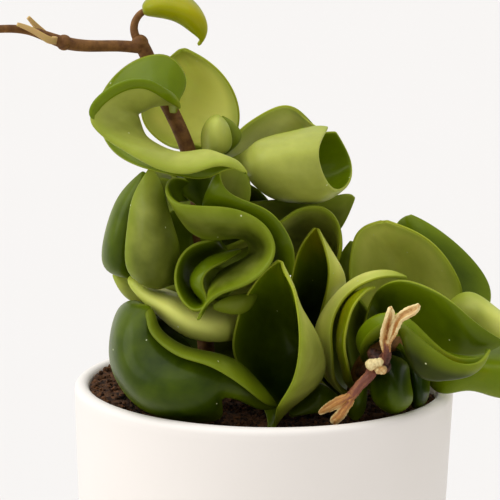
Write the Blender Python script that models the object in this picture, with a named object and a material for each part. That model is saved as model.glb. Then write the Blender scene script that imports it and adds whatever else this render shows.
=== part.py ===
"""Hindu rope plant in a white ceramic pot.

Curled waxy leaves on two short stems, with a bare runner and a dry flower stalk.
"""

import math

import bmesh
import bpy
import numpy as np

# Driving dimensions, in millimetres
MM = 0.001
POT_HEIGHT = 110.0
POT_TOP_RADIUS = 62.5
POT_BASE_RADIUS = 58.2
POT_CHAMFER = 1.2
RIM_DROP = 2.4
INNER_TOP_RADIUS = 57.5
INNER_FLOOR_RADIUS = 53.4
POT_FLOOR = 5.0
POT_SEGMENTS = 48
SOIL_TOP = 104.0
# The soil stands higher behind the stems and along the left wall, almost level with the rim
SOIL_BANK = 4.6
BANK_BEHIND = (35.0, 7.0)
BANK_LEFT = (36.0, 10.0)
SOIL_BUMP = 0.35
SOIL_GAP = 0.45
HOLE_GAP = 0.6
PETIOLE_THICKNESS = 2.2
PETIOLE_HALF_WIDTH = 1.3
BLADE_THICKNESS = 1.5
MARGIN_THICKNESS = 0.8
TIP_HALF_WIDTH = 0.6
HIDDEN_TIP_HALF_WIDTH = 1.2
SEAT_GAP = 0.55
# Steps along and across the blades that are grown into a stem, and the most steps along any blade
GROWN_GRID = (8, 4)
MOST_ALONG = 16
LEAF_HOLE_RADIUS = 3.0
STEM_SIDES = 8

# The front view that every hand-read point is written in: 500 divisions wide, seen from a little above
VIEW_LEAN = math.radians(11.7)
VIEW_ROLL = math.radians(0.8)
VIEW_DISTANCE = 1200.0
VIEW_SCALE = 3.026
VIEW_CENTRE = 250.0
VIEW_ACROSS = -5.2
VIEW_UP = 43.6
TOWARD_VIEWER = np.array([0.0, -math.cos(VIEW_LEAN), math.sin(VIEW_LEAN)])
UP_VIEW = np.array([0.0, math.sin(VIEW_LEAN), math.cos(VIEW_LEAN)])

# Base colour (linear), roughness and metallic of each material
LOOKS = {
    "glazed_pot": ((0.84, 0.82, 0.79), 0.45, 0.0),
    "potting_soil": ((0.030, 0.018, 0.012), 0.95, 0.0),
    "stem_bark": ((0.130, 0.065, 0.035), 0.70, 0.0),
    "dry_stalk": ((0.330, 0.180, 0.085), 0.75, 0.0),
    "green_leaf": ((0.075, 0.150, 0.018), 0.35, 0.0),
    "young_leaf": ((0.240, 0.330, 0.040), 0.40, 0.0),
    "young_scale": ((0.400, 0.350, 0.130), 0.50, 0.0),
}

# Stems as points (across, down, near) with a radius at each. Across and down are read in the
# front view, and near is millimetres toward the viewer from the plane through the rim's centre.
LEFT_STEM = "left_stem"
RUNNER = "runner"
SHOOT = "shoot"
RIGHT_STEM = "right_stem"
STEMS = {
    LEFT_STEM: (
        [
            (213, 430, 10), (212, 412, 10), (206, 350, 8), (203, 300, 10), (200, 250, 12), (198, 200, 14),
            (191, 160, 15), (181, 132, 15), (168, 105, 14), (156, 80, 12), (148, 58, 12), (140, 42, 13),
        ],
        [3.0, 2.9, 2.8, 2.8, 2.7, 2.6, 2.6, 2.5, 2.5, 2.4, 2.4, 2.4],
    ),
    RUNNER: (
        [
            (143, 48, 13), (120, 46, 14), (100, 46, 16), (66, 43, 20),
            (30, 31, 26), (0, 29, 32), (-60, 38, 44),
        ],
        [2.0, 1.9, 1.9, 2.1, 1.4, 1.3, 1.1],
    ),
    SHOOT: (
        [(141, 46, 13), (134, 28, 13), (137, 18, 13), (143, 12, 14), (150, 9, 15)],
        [1.5, 1.3, 1.2, 1.1, 1.0],
    ),
    RIGHT_STEM: (
        [
            (352, 425, 8), (352, 405, 10), (356, 385, 16), (362, 365, 20), (378, 350, 21), (405, 342, 17),
            (435, 338, 10),
        ],
        [2.8, 2.7, 2.6, 2.5, 2.4, 2.2, 1.8],
    ),
}
# The swollen joints where shoots leave the left stem and the runner
LEFT_KNOTS = [((140, 43, 13), 2.8), ((64, 42.5, 20.3), 2.6)]

# The dry flower stalk: a bent main stalk with a second prong below, and a forked papery end above
STALKS = [
    (
        [
            (360, 372, 23), (366, 370, 33), (372, 362, 44), (362, 378, 48), (346, 395, 49), (332, 404, 49),
            (320, 411, 48),
        ],
        [1.7, 1.9, 2.4, 1.9, 1.9, 1.6, 0.9],
    ),
    ([(350, 391, 49), (342, 407, 49), (335, 422, 48)], [1.7, 1.6, 0.9]),
    (
        [(370, 366, 45), (380, 350, 52), (385, 336, 57), (389, 320, 60), (390, 307, 61)],
        [2.2, 1.7, 2.4, 1.9, 0.9],
    ),
    ([(385, 333, 58), (398, 317, 60), (410, 309, 61), (419, 304, 62)], [1.9, 1.5, 1.3, 0.9]),
]
STALK_KNOTS = [
    ((374, 357, 46), 2.8),
    ((370, 363, 47.5), 2.0),
    ((377, 363, 48), 1.9),
    ((381, 370, 47.5), 1.9),
]

# The hole in the soil for the one leaf that stands in it
LEAF_HOLE_LINE = [(273, 443.5, 38.2), (273, 434, 38.4), (273, 424, 39)]

# Rear leaves that curl out of a stem: height, heading, length and half width, then how each bends.
# Lengths are in millimetres and the rest in degrees.
REAR_BENDS = ("height", "heading", "length", "half", "rise", "curl", "fold", "turn", "twist")
REAR_LEFT_LEAVES = [
    (125, 75, 40, 14, 18, -105, 40, 1, 3),
    (132, 122, 42, 14, 36, -105, 40, -11, 39),
    (145, 64, 42, 14, 24, -113, 40, 15, -13),
    (148, 87, 40, 13, 29, -90, 40, -21, 47),
    (171, 95, 34, 11, 32, -82, 45, 48, -8),
]
REAR_RIGHT_LEAVES = [
    (108, 55, 40, 11, 30, -60, 40, 30, -20),
]
# Half width of a rear leaf along its length, as shares of its length and of its widest half
REAR_OUTLINE = [(0.15, 0.42), (0.35, 0.92), (0.55, 1.0), (0.75, 0.82), (0.9, 0.5)]

# Leaves, each as rows of points across the blade from its base to its tip, in the same front view
LEAVES = [
    {
        "name": "loop_leaf",
        "stem": LEFT_STEM,
        "material": "young_leaf",
        "base": (174, 108, 14),
        "rows": [
            [(178, 109, 24), (178, 107, 25), (177, 104, 24), (177, 101, 22)],
            [(169, 103, 36), (172, 95, 36), (168, 103, 29), (183, 93, 22)],
            [(160, 98, 40), (164, 87, 40), (160, 104, 30), (187, 79, 21)],
            [(148, 92, 42), (151, 80, 42), (151, 106, 30), (172, 56, 20)],
            [(133, 90, 43), (134, 79, 43), (144, 110, 30), (146, 55, 18)],
            [(114, 98, 44), (113, 87, 44), (137, 114, 30), (119, 70, 17)],
            [(97, 115, 44), (96, 111, 44), (139, 122, 31), (97, 104, 18)],
            [(104, 133, 44), (106, 131, 44), (144, 135, 33), (103, 138, 22)],
            [(129, 151, 45), (133, 149, 46), (159, 147, 38), (122, 159, 27)],
            [(162, 168, 46), (166, 165, 47), (184, 154, 41), (152, 171, 36)],
            [(192, 171, 46), (196, 167, 47), (207, 151, 42), (185, 178, 38)],
            [(215, 165, 47), (217, 162, 48), (224, 157, 44), (209, 178, 41)],
            [(233, 167, 46), (234, 165, 47), (238, 163, 44), (230, 169, 44)],
        ],
        "tip": (247, 174, 43),
    },
    {
        "name": "spoon_leaf",
        "stem": LEFT_STEM,
        "material": "young_leaf",
        "base": (188, 147, 14),
        "rows": [
            [(163, 143, 4), (190, 138, 0), (226, 146, 6)],
            [(141, 118, 3), (190, 112, -8), (240, 122, 6)],
            [(150, 82, 3), (196, 84, -9), (232, 88, 9)],
            [(166, 61, 5), (190, 62, -3), (210, 63, 9)],
        ],
        "tip": (182, 49, 5),
    },
    {
        "name": "small_pale_leaf",
        "stem": LEFT_STEM,
        "material": "young_leaf",
        "base": (199, 162, 16),
        "rows": [
            [(204, 159, 19), (206, 156, 20), (209, 154, 19)],
            [(203, 148, 17), (213, 152, 26), (228, 150, 18)],
            [(202, 133, 17), (215, 133, 28), (231, 135, 19)],
            [(208, 121, 17), (216, 121, 25), (226, 123, 19)],
        ],
        "tip": (217, 116, 20),
    },
    {
        "name": "sweep_leaf",
        "stem": LEFT_STEM,
        "material": "green_leaf",
        "base": (205, 200, 16),
        "rows": [
            [(249, 203, 27), (236, 208, 27), (222, 210, 27)],
            [(251, 185, 29), (236, 200, 28), (216, 207, 28)],
            [(244, 169, 31), (230, 190, 30), (210, 205, 30)],
            [(231, 162, 35), (218, 184, 34), (206, 205, 33)],
            [(221, 166, 39), (211, 186, 38), (203, 206, 35)],
            [(222, 183, 42), (212, 196, 40), (206, 210, 35)],
            [(242, 199, 42), (231, 208, 40), (222, 217, 33)],
            [(266, 209, 42), (254, 219, 39), (245, 228, 31)],
            [(284, 227, 41), (273, 237, 38), (266, 245, 30)],
            [(294, 250, 39), (283, 256, 36), (273, 262, 29)],
        ],
        "tip": (291, 275, 33),
    },
    {
        "name": "s_ribbon_leaf",
        "stem": LEFT_STEM,
        "material": "green_leaf",
        "base": (196, 190, 14),
        "rows": [
            [(190, 181, 22), (189, 190, 20), (190, 200, 19)],
            [(179, 178, 28), (179, 189, 25), (182, 202, 23)],
            [(169, 181, 37), (171, 191, 35), (176, 204, 32)],
            [(167, 192, 43), (171, 200, 41), (178, 212, 36)],
            [(176, 202, 46), (179, 211, 44), (186, 226, 38)],
            [(190, 205, 48), (190, 219, 45), (194, 234, 37)],
            [(215, 206, 48), (214, 223, 46), (212, 240, 36)],
            [(240, 210, 48), (235, 226, 45), (233, 238, 33)],
            [(259, 220, 48), (251, 231, 42), (246, 240, 29)],
            [(271, 234, 48), (262, 243, 40), (249, 248, 26)],
            [(275, 250, 48), (264, 253, 40), (247, 256, 25)],
            [(269, 266, 49), (257, 262, 42), (238, 262, 27)],
            [(256, 279, 50), (244, 274, 44), (222, 270, 31)],
            [(238, 288, 51), (227, 284, 46), (212, 282, 37)],
            [(220, 294, 52), (214, 294, 49), (208, 295, 46)],
            [(207, 305, 54), (207, 303, 53), (209, 301, 50)],
        ],
        "tip": (198, 320, 55),
    },
    {
        "name": "spiral_leaf",
        "stem": LEFT_STEM,
        "material": "green_leaf",
        "base": (206, 236, 15),
        "rows": [
            [(214, 240, 33), (219, 246, 26), (226, 251, 18)],
            [(193, 245, 36), (202, 251, 28), (214, 256, 19)],
            [(178, 262, 38), (189, 263, 28), (203, 264, 18)],
            [(175, 281, 40), (186, 279, 29), (199, 276, 18)],
            [(181, 299, 42), (190, 294, 32), (199, 288, 20)],
            [(196, 311, 44), (200, 305, 36), (204, 297, 24)],
            [(207, 304, 45), (205, 302, 38), (203, 298, 29)],
            [(203, 287, 45), (193, 285, 40), (194, 284, 30)],
            [(207, 272, 44), (199, 268, 38), (200, 268, 29)],
            [(224, 262, 40), (216, 257, 36), (214, 257, 29)],
        ],
        "tip": (241, 250, 33),
    },
    {
        "name": "left_oval_leaf",
        "stem": LEFT_STEM,
        "material": "green_leaf",
        "base": (200, 262, 12),
        "rows": [
            [(171, 284, 24), (172, 281, 26), (173, 275, 25)],
            [(133, 277, 33), (152, 284, 38), (174, 277, 30)],
            [(125, 256, 34), (151, 260, 41), (180, 256, 30)],
            [(127, 230, 35), (151, 235, 41), (175, 231, 31)],
            [(132, 200, 34), (150, 204, 38), (166, 201, 32)],
            [(141, 181, 32), (150, 183, 33), (160, 181, 32)],
        ],
        "tip": (151, 168, 31),
    },
    {
        "name": "left_dark_leaf",
        "stem": LEFT_STEM,
        "material": "green_leaf",
        "base": (199, 248, 13),
        "rows": [
            [(156, 276, 13), (156, 272, 14), (157, 267, 12)],
            [(127, 277, 18), (134, 272, 20), (148, 262, 15)],
            [(106, 269, 15), (120, 262, 24), (150, 250, 17)],
            [(103, 248, 14), (118, 242, 25), (155, 235, 20)],
            [(112, 212, 16), (125, 212, 25), (150, 212, 22)],
            [(124, 190, 18), (134, 191, 24), (148, 190, 23)],
        ],
        "tip": (145, 172, 23),
    },
    {
        "name": "left_pale_tip_leaf",
        "stem": LEFT_STEM,
        "material": "green_leaf",
        "base": (200, 282, 12),
        "rows": [
            [(166, 296, 10), (168, 290, 11), (170, 284, 9)],
            [(145, 304, 7), (143, 292, 11), (147, 281, 7)],
            [(126, 296, 7), (124, 286, 11), (128, 276, 7)],
        ],
        "tip": (114, 273, 9),
    },
    {
        "name": "pale_band_leaf",
        "stem": LEFT_STEM,
        "material": "green_leaf",
        "base": (205, 320, 10),
        "rows": [
            [(252, 335, 12), (255, 323, 12), (250, 308, 8)],
            [(234, 340, 26), (238, 324, 27), (236, 306, 19)],
            [(212, 342, 35), (214, 324, 37), (216, 304, 26)],
            [(187, 337, 36), (193, 320, 38), (200, 302, 25)],
            [(160, 317, 34), (168, 305, 36), (184, 296, 21)],
            [(138, 296, 30), (148, 292, 31), (166, 290, 18)],
            [(128, 282, 27), (138, 283, 28), (152, 285, 17)],
        ],
        "tip": (134, 276, 22),
    },
    {
        "name": "shell_leaf",
        "stem": LEFT_STEM,
        "material": "green_leaf",
        "base": (204, 306, 10),
        "rows": [
            [(150, 314, 20), (150, 312, 20), (150, 309, 20), (150, 305, 18)],
            [(141, 309, 34), (144, 307, 34), (131, 304, 31), (121, 307, 18)],
            [(145, 315, 42), (150, 310, 40), (123, 325, 40), (111, 336, 22)],
            [(148, 328, 47), (154, 325, 43), (124, 352, 46), (113, 372, 28)],
            [(158, 342, 51), (165, 340, 45), (139, 378, 51), (140, 408, 38)],
            [(180, 357, 55), (186, 351, 48), (172, 392, 55), (182, 421, 43)],
            [(206, 365, 57), (210, 355, 49), (206, 392, 54), (222, 418, 42)],
            [(227, 376, 56), (233, 361, 49), (224, 388, 50), (221, 398, 46)],
            [(248, 391, 52), (252, 376, 47), (245, 394, 47), (242, 400, 45)],
            [(267, 405, 45), (270, 397, 44), (264, 406, 42), (261, 408, 41)],
        ],
        "tip": (276, 407, 41),
    },
    {
        "name": "shell_inner_leaf",
        "stem": LEFT_STEM,
        "material": "green_leaf",
        "base": (208, 372, 9),
        "rows": [
            [(196, 352, 18), (190, 362, 18), (184, 372, 15)],
            [(176, 330, 22), (166, 345, 26), (158, 362, 22)],
            [(162, 318, 22), (150, 330, 28), (143, 345, 24)],
        ],
        "tip": (147, 319, 24),
    },
    {
        "name": "front_taco_leaf",
        "stem": None,
        "material": "green_leaf",
        "base": (273, 440, 38),
        "rows": [
            [(268, 427, 38), (270, 428, 38), (272, 428, 38.5), (274, 428, 39), (276, 427, 39)],
            [(262, 406, 28), (278, 402, 26), (292, 400, 31), (296, 402, 41), (278, 406, 51)],
            [(245, 378, 28), (278, 378, 18), (311, 378, 24), (318, 380, 38), (291, 383, 56)],
            [(232, 351, 33), (275, 352, 14), (314, 355, 19), (321, 355, 38), (298, 355, 58)],
            [(235, 325, 37), (272, 326, 15), (303, 330, 19), (312, 329, 37), (299, 329, 57)],
            [(241, 305, 39), (270, 305, 20), (292, 308, 23), (299, 307, 38), (297, 306, 55)],
            [(252, 286, 41), (272, 288, 30), (287, 288, 31), (292, 287, 40), (292, 286, 51)],
            [(265, 271, 43), (274, 272, 38), (283, 273, 38), (286, 273, 42), (284, 271, 47)],
        ],
        "tip": (280, 261, 45),
    },
    {
        "name": "back_taco_leaf",
        "stem": RIGHT_STEM,
        "material": "green_leaf",
        "base": (353, 394, 4),
        "rows": [
            [(300, 356, 0), (310, 356, -6), (320, 356, -6), (322, 356, -3), (314, 356, 3)],
            [(285, 310, 6), (308, 310, -9), (331, 308, -9), (337, 306, -3), (322, 306, 9)],
            [(291, 277, 12), (313, 278, -3), (336, 279, -2), (343, 277, 7), (328, 272, 19)],
            [(298, 251, 15), (313, 253, 5), (328, 256, 6), (332, 255, 13), (325, 250, 21)],
        ],
        "tip": (316, 228, 17),
    },
    {
        "name": "right_band_leaf",
        "stem": RIGHT_STEM,
        "material": "green_leaf",
        "base": (353, 393, 12),
        "rows": [
            [(347, 386, 9), (336, 386, 15), (337, 383, 20)],
            [(345, 350, 2), (321, 352, 12), (333, 355, 27)],
            [(343, 331, 3), (317, 332, 13), (332, 331, 29)],
            [(345, 312, 7), (325, 311, 16), (338, 309, 30)],
            [(352, 295, 13), (342, 290, 20), (352, 291, 31)],
            [(365, 281, 17), (363, 276, 21), (370, 281, 29)],
            [(386, 275, 18), (388, 272, 21), (388, 277, 26)],
        ],
        "tip": (407, 278, 22),
    },
    {
        "name": "right_green_leaf",
        "stem": RIGHT_STEM,
        "material": "green_leaf",
        "base": (355, 385, 16),
        "rows": [
            [(346, 379, 19), (347, 380, 24), (351, 376, 29)],
            [(344, 368, 14), (344.5, 370, 26), (347, 362, 37)],
            [(341, 345, 14), (338.5, 347, 26), (344.5, 342, 41)],
            [(341, 325, 15), (340.5, 324, 27), (348.5, 320, 42)],
            [(346, 307, 16), (346.5, 304, 26), (355, 304, 41)],
            [(359, 295, 18), (360, 292, 27), (366, 292, 36)],
        ],
        "tip": (375, 288, 30),
    },
    {
        "name": "right_dark_leaf",
        "stem": RIGHT_STEM,
        "material": "green_leaf",
        "base": (372, 355, 21),
        "rows": [
            [(363, 338, 23), (368, 339, 20), (373, 341, 19)],
            [(371, 301, 24), (378, 314, 20), (381, 330, 19)],
            [(385, 284, 34), (391, 305, 26), (395, 330, 23)],
            [(405, 280, 40), (415, 308, 34), (414, 336, 28)],
            [(432, 289, 44), (440, 318, 40), (434, 346, 33)],
            [(455, 304, 46), (460, 330, 44), (456, 354, 38)],
            [(479, 325, 46), (480, 341, 45), (480, 354, 41)],
        ],
        "tip": (503, 342, 43),
    },
    {
        "name": "right_lip_leaf",
        "stem": RIGHT_STEM,
        "material": "green_leaf",
        "base": (368, 360, 21),
        "rows": [
            [(361, 353, 36), (363, 356, 35), (366, 358, 32), (359, 352, 31)],
            [(363, 343, 44), (367, 347, 42), (372, 351, 37), (357, 333, 38)],
            [(378, 333, 49), (382, 338, 48), (386, 344, 42), (374, 315, 42)],
            [(398, 332, 53), (400, 341, 53), (404, 352, 47), (399, 313, 46)],
            [(420, 345, 56), (418, 360, 56), (425, 374, 50), (422, 329, 48)],
            [(440, 358, 57), (443, 370, 55), (450, 378, 49), (438, 349, 50)],
            [(461, 366, 54), (465, 373, 51), (470, 373, 47), (459, 362, 48)],
            [(480, 361, 50), (482, 363, 49), (484, 361, 47), (481, 356, 46)],
        ],
        "tip": (489, 349, 46),
    },
    {
        "name": "right_round_leaf",
        "stem": RIGHT_STEM,
        "material": "green_leaf",
        "base": (400, 345, 18),
        "rows": [
            [(380, 328, 8), (397, 330, 4), (414, 328, 9)],
            [(351, 292, 4), (398, 303, -8), (460, 304, 13)],
            [(350, 255, 7), (398, 270, -10), (456, 272, 15)],
            [(356, 234, 9), (393, 246, -6), (432, 242, 13)],
            [(370, 224, 9), (385, 230, 3), (402, 226, 10)],
        ],
        "tip": (384, 221, 9),
    },
    {
        "name": "right_rear_leaf",
        "stem": RIGHT_STEM,
        "material": "green_leaf",
        "base": (432, 338, 11),
        "rows": [
            [(424, 324, -8), (446, 330, -3), (470, 328, -2)],
            [(398, 298, -24), (445, 298, -12), (491, 302, -12)],
            [(393, 262, -26), (435, 265, -14), (485, 275, -16)],
            [(393, 235, -22), (420, 240, -13), (456, 243, -16)],
            [(400, 220, -18), (412, 222, -15), (426, 222, -16)],
        ],
        "tip": (409, 215, -16),
    },
    {
        "name": "right_pale_leaf",
        "stem": RIGHT_STEM,
        "material": "green_leaf",
        "base": (432, 337, 10),
        "rows": [
            [(448, 304, 16), (452, 316, 21), (450, 330, 18)],
            [(470, 292, 20), (476, 311, 27), (474, 332, 22)],
            [(494, 307, 22), (499, 322, 29), (496, 338, 24)],
            [(513, 322, 22), (515, 330, 26), (512, 338, 23)],
        ],
        "tip": (524, 333, 22),
    },
    {
        "name": "rim_leaf",
        "stem": RIGHT_STEM,
        "material": "green_leaf",
        "base": (416, 341, 15),
        "rows": [
            [(423, 353, 12), (420, 354, 13), (416, 354, 12)],
            [(424, 354, 11), (428, 368, 16), (430, 385, 14)],
            [(466, 347, 14), (472, 368, 28), (468, 390, 21)],
            [(502, 345, 14), (504, 372, 29), (500, 398, 21)],
            [(530, 354, 15), (532, 374, 25), (528, 392, 19)],
        ],
        "tip": (548, 377, 16),
    },
    {
        "name": "rolled_leaf",
        "stem": LEFT_STEM,
        "material": "young_leaf",
        "base": (196, 178, 15),
        "rows": [
            [
                (234, 158, 10), (234, 161, 12), (234, 164, 13), (235, 167, 13),
                (235, 170, 13), (236, 173, 12), (236, 176, 10),
            ],
            [
                (249, 149, 13), (246, 156, 20), (246, 168, 22), (251, 178, 17),
                (257, 177, 7), (257, 167, 3), (254, 154, 6),
            ],
            [
                (263, 139, 15), (256, 150, 28), (256, 171, 31), (267, 193, 20),
                (279, 190, 4), (280, 165, -4), (272, 146, 3),
            ],
            [
                (294, 131, 15), (284, 146, 31), (284, 169, 34), (294, 199, 21),
                (307, 193, 2), (309, 165, -5), (301, 139, 1),
            ],
            [
                (318, 126, 15), (309, 143, 32), (309, 167, 34), (320, 197, 22),
                (334, 191, 2), (336, 162, -5), (326, 135, 1),
            ],
            [
                (329, 125, 15), (321, 142, 31), (320, 163, 34), (333, 188, 24),
                (349, 183, 5), (351, 160, -4), (339, 134, 1),
            ],
        ],
        "tip": None,
    },
    {
        "name": "rolled_flap_leaf",
        "stem": LEFT_STEM,
        "material": "young_leaf",
        "base": (192, 158, 15),
        "rows": [
            [(222, 151, 13), (232, 153, 7), (240, 158, 0)],
            [(238, 132, 10), (250, 142, 0), (262, 155, -8)],
            [(262, 114, 8), (276, 132, -4), (285, 150, -12)],
            [(290, 106, 4), (302, 122, -5), (310, 142, -12)],
            [(307, 119, 0), (316, 130, -4), (322, 140, -10)],
        ],
        "tip": (325, 135, -8),
    },
    {
        "name": "under_roll_leaf",
        "stem": LEFT_STEM,
        "material": "green_leaf",
        "base": (200, 208, 14),
        "rows": [
            [(248, 203, 12), (250, 208, 8), (249, 215, 4)],
            [(280, 200, 5), (284, 212, 0), (284, 227, -3)],
            [(318, 199, 0), (322, 215, -4), (318, 238, -8)],
            [(343, 194, -4), (343, 212, -7), (338, 232, -10)],
        ],
        "tip": (354, 196, -6),
    },
    {
        "name": "hood_leaf",
        "stem": LEFT_STEM,
        "material": "green_leaf",
        "base": (202, 258, 12),
        "rows": [
            [(280, 222, 24), (266, 240, 10), (260, 262, 6)],
            [(296, 210, 24), (290, 236, 2), (285, 268, -4)],
            [(321, 206, 20), (315, 235, -3), (310, 270, -8)],
            [(338, 222, 16), (334, 248, -5), (328, 270, -9)],
            [(341, 246, 11), (338, 257, 1), (333, 268, -6)],
        ],
        "tip": (337, 263, 3),
    },
    {
        "name": "right_inner_leaf",
        "stem": RIGHT_STEM,
        "material": "green_leaf",
        "base": (364, 364, 16),
        "rows": [
            [(352, 370, 11), (359, 373, 8), (366, 372, 9)],
            [(346, 345, 11), (357, 347, 4), (370, 346, 7)],
            [(347, 320, 12), (358, 318, 5), (370, 316, 9)],
        ],
        "tip": (358, 300, 12),
    },
    {
        "name": "low_dark_leaf",
        "stem": RIGHT_STEM,
        "material": "green_leaf",
        "base": (372, 360, 22),
        "rows": [
            [(378, 362, 26), (391, 358, 30), (404, 362, 26)],
            [(371, 381, 31), (391, 378, 42), (410, 381, 32)],
            [(374, 401, 34), (393, 402, 43), (412, 401, 35)],
        ],
        "tip": (394, 413, 37),
    },
    {
        "name": "low_right_leaf",
        "stem": RIGHT_STEM,
        "material": "green_leaf",
        "base": (398, 345, 20),
        "rows": [
            [(404, 354, 22), (407, 353, 23), (410, 353, 22)],
            [(406, 366, 21), (415, 366, 26), (426, 368, 19)],
            [(407, 385, 23), (418, 384, 30), (429, 384, 21)],
            [(410, 400, 25), (419, 400, 30), (427, 398, 22)],
        ],
        "tip": (417, 409, 25),
    },
    {
        "name": "low_left_leaf",
        "stem": RIGHT_STEM,
        "material": "green_leaf",
        "base": (356, 397, 16),
        "rows": [
            [(357, 389, 30), (361, 386, 33), (366, 386, 30)],
            [(350, 399, 32), (358, 399, 38), (366, 399, 33)],
            [(347, 410, 33), (355, 411, 37), (364, 410, 33)],
        ],
        "tip": (356, 420, 35),
    },
    {
        "name": "low_centre_leaf",
        "stem": RIGHT_STEM,
        "material": "green_leaf",
        "base": (352, 400, 11),
        "rows": [
            [(339, 398, 16), (339, 403, 17), (339, 408, 15)],
            [(318, 383, 18), (322, 397, 24), (324, 412, 24)],
            [(299, 394, 20), (302, 406, 25), (305, 415, 26)],
        ],
        "tip": (290, 416, 27),
    },
    {
        "name": "young_top_leaf",
        "stem": SHOOT,
        "material": "young_leaf",
        "base": (148, 10, 15),
        "rows": [
            [(154, 10, 17), (153, 6, 17), (152, 2, 16)],
            [(174, 19, 19), (173, 4, 17), (172, -12, 11)],
            [(190, 29, 19), (194, 10, 17), (192, -8, 11)],
            [(198, 39, 18), (206, 27, 18), (205, 13, 13)],
        ],
        "tip": (199, 45, 16),
    },
    {
        "name": "runner_leaf_a",
        "stem": RUNNER,
        "material": "young_scale",
        "base": (54, 38, 22),
        "rows": [
            [(48, 36, 28), (48, 39, 28), (47, 43, 28)],
            [(34, 28, 30), (34, 31, 30), (33, 34, 30)],
        ],
        "tip": (17, 24, 32),
    },
    {
        "name": "runner_leaf_b",
        "stem": RUNNER,
        "material": "young_scale",
        "base": (60, 40, 20),
        "rows": [
            [(48, 32, 17), (48, 36, 17), (47, 40, 17)],
            [(38, 24, 19), (37, 27, 19), (36, 30, 19)],
        ],
        "tip": (28, 17, 21),
    },
]

# Leaves deep in the rope, grown into the left stem's node.
INNER_LEAVES = [
    {
        "name": "inner_left_leaf",
        "stem": LEFT_STEM,
        "material": "green_leaf",
        "base": (198, 210, 14),
        "rows": [
            [(185, 190, 8), (178, 200, 4), (176, 214, 6)],
            [(165, 178, 6), (150, 205, -4), (150, 235, 4)],
            [(140, 185, 2), (128, 215, -6), (130, 245, 2)],
        ],
        "tip": (116, 222, 0),
    },
    {
        "name": "inner_right_leaf",
        "stem": LEFT_STEM,
        "material": "green_leaf",
        "base": (198, 216, 14),
        "rows": [
            [(215, 200, 6), (220, 212, 2), (218, 226, 6)],
            [(238, 182, 4), (248, 212, -6), (240, 244, 3)],
            [(264, 196, 0), (270, 222, -8), (260, 250, 0)],
        ],
        "tip": (278, 230, -4),
    },
    {
        "name": "inner_low_leaf",
        "stem": LEFT_STEM,
        "material": "green_leaf",
        "base": (202, 300, 11),
        "rows": [
            [(216, 282, 4), (222, 294, 0), (218, 308, 4)],
            [(242, 265, 2), (252, 292, -8), (244, 322, 2)],
            [(268, 270, -2), (276, 294, -10), (266, 320, -2)],
        ],
        "tip": (284, 300, -6),
    },
    {
        "name": "inner_base_leaf",
        "stem": LEFT_STEM,
        "material": "green_leaf",
        "base": (206, 352, 8),
        "rows": [
            [(218, 340, 4), (222, 351, 0), (218, 362, 4)],
            [(238, 330, 0), (246, 350, -6), (240, 369, 0)],
            [(262, 340, -4), (268, 355, -8), (262, 368, -4)],
        ],
        "tip": (280, 358, -6),
    },
    {
        "name": "inner_lower_left_leaf",
        "stem": LEFT_STEM,
        "material": "green_leaf",
        "base": (204, 330, 10),
        "rows": [
            [(190, 318, 4), (184, 330, 0), (188, 344, 4)],
            [(165, 300, 2), (150, 325, -8), (160, 352, 2)],
            [(146, 312, -2), (131, 328, -10), (145, 344, -2)],
        ],
        "tip": (118, 325, -6),
    },
]


def clear_scene():
    for old in list(bpy.data.objects):
        bpy.data.objects.remove(old, do_unlink=True)


def principled(name):
    """The named material, made once and shared by the pieces of that kind."""
    if name in bpy.data.materials:
        return bpy.data.materials[name]
    colour, roughness, metallic = LOOKS[name]
    material = bpy.data.materials.new(name)
    material.use_nodes = True
    shader = material.node_tree.nodes["Principled BSDF"]
    shader.inputs["Base Color"].default_value = (*colour, 1.0)
    shader.inputs["Roughness"].default_value = roughness
    shader.inputs["Metallic"].default_value = metallic
    return material


def placed(point):
    """A front-view point (across, down, near) as millimetres in the world."""
    across, down, near = point
    x, y = across - VIEW_CENTRE, down - VIEW_CENTRE
    turned_x = x * math.cos(VIEW_ROLL) + y * math.sin(VIEW_ROLL)
    turned_y = y * math.cos(VIEW_ROLL) - x * math.sin(VIEW_ROLL)
    scale = VIEW_SCALE * VIEW_DISTANCE / (VIEW_DISTANCE - near)
    side = turned_x / scale + VIEW_ACROSS
    height = VIEW_UP - turned_y / scale
    return np.array([side, 0.0, POT_HEIGHT]) + height * UP_VIEW + near * TOWARD_VIEWER


def natural_curve(stations, values, at):
    """A natural cubic spline through values at the stations, read at the places in at."""
    stations = np.asarray(stations, float)
    values = np.asarray(values, float)
    count = len(stations)
    gaps = np.diff(stations)
    matrix = np.eye(count)
    right = np.zeros((count, values.shape[1]))
    for i in range(1, count - 1):
        matrix[i, i - 1 : i + 2] = gaps[i - 1], 2 * (gaps[i - 1] + gaps[i]), gaps[i]
        after = (values[i + 1] - values[i]) / gaps[i]
        before = (values[i] - values[i - 1]) / gaps[i - 1]
        right[i] = 3 * (after - before)
    bend = np.linalg.solve(matrix, right)
    i = np.clip(np.searchsorted(stations, at, side="right") - 1, 0, count - 2)
    step = (at - stations[i])[:, None]
    gap = gaps[i][:, None]
    slope = (values[i + 1] - values[i]) / gap - gap * (2 * bend[i] + bend[i + 1]) / 3
    return values[i] + slope * step + bend[i] * step**2 + (bend[i + 1] - bend[i]) / (3 * gap) * step**3


def stem_line(points, radii, count):
    """Evenly spaced centres and radii along a stem."""
    centres = np.array([placed(p) for p in points])
    lengths = np.linalg.norm(np.diff(centres, axis=0), axis=1)
    stations = np.concatenate([[0.0], np.cumsum(lengths)])
    at = np.linspace(0.0, stations[-1], count)
    return natural_curve(stations, centres, at), np.interp(at, stations, radii)


def unit(vector):
    return vector / max(np.linalg.norm(vector), 1e-6)


def turned_with(vector, start, end):
    """The vector turned the way that takes direction start to direction end."""
    start, end = unit(start), unit(end)
    axis = np.cross(start, end)
    cosine = start @ end
    return vector * cosine + np.cross(axis, vector) + axis * (axis @ vector) / (1 + cosine + 1e-6)


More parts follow.
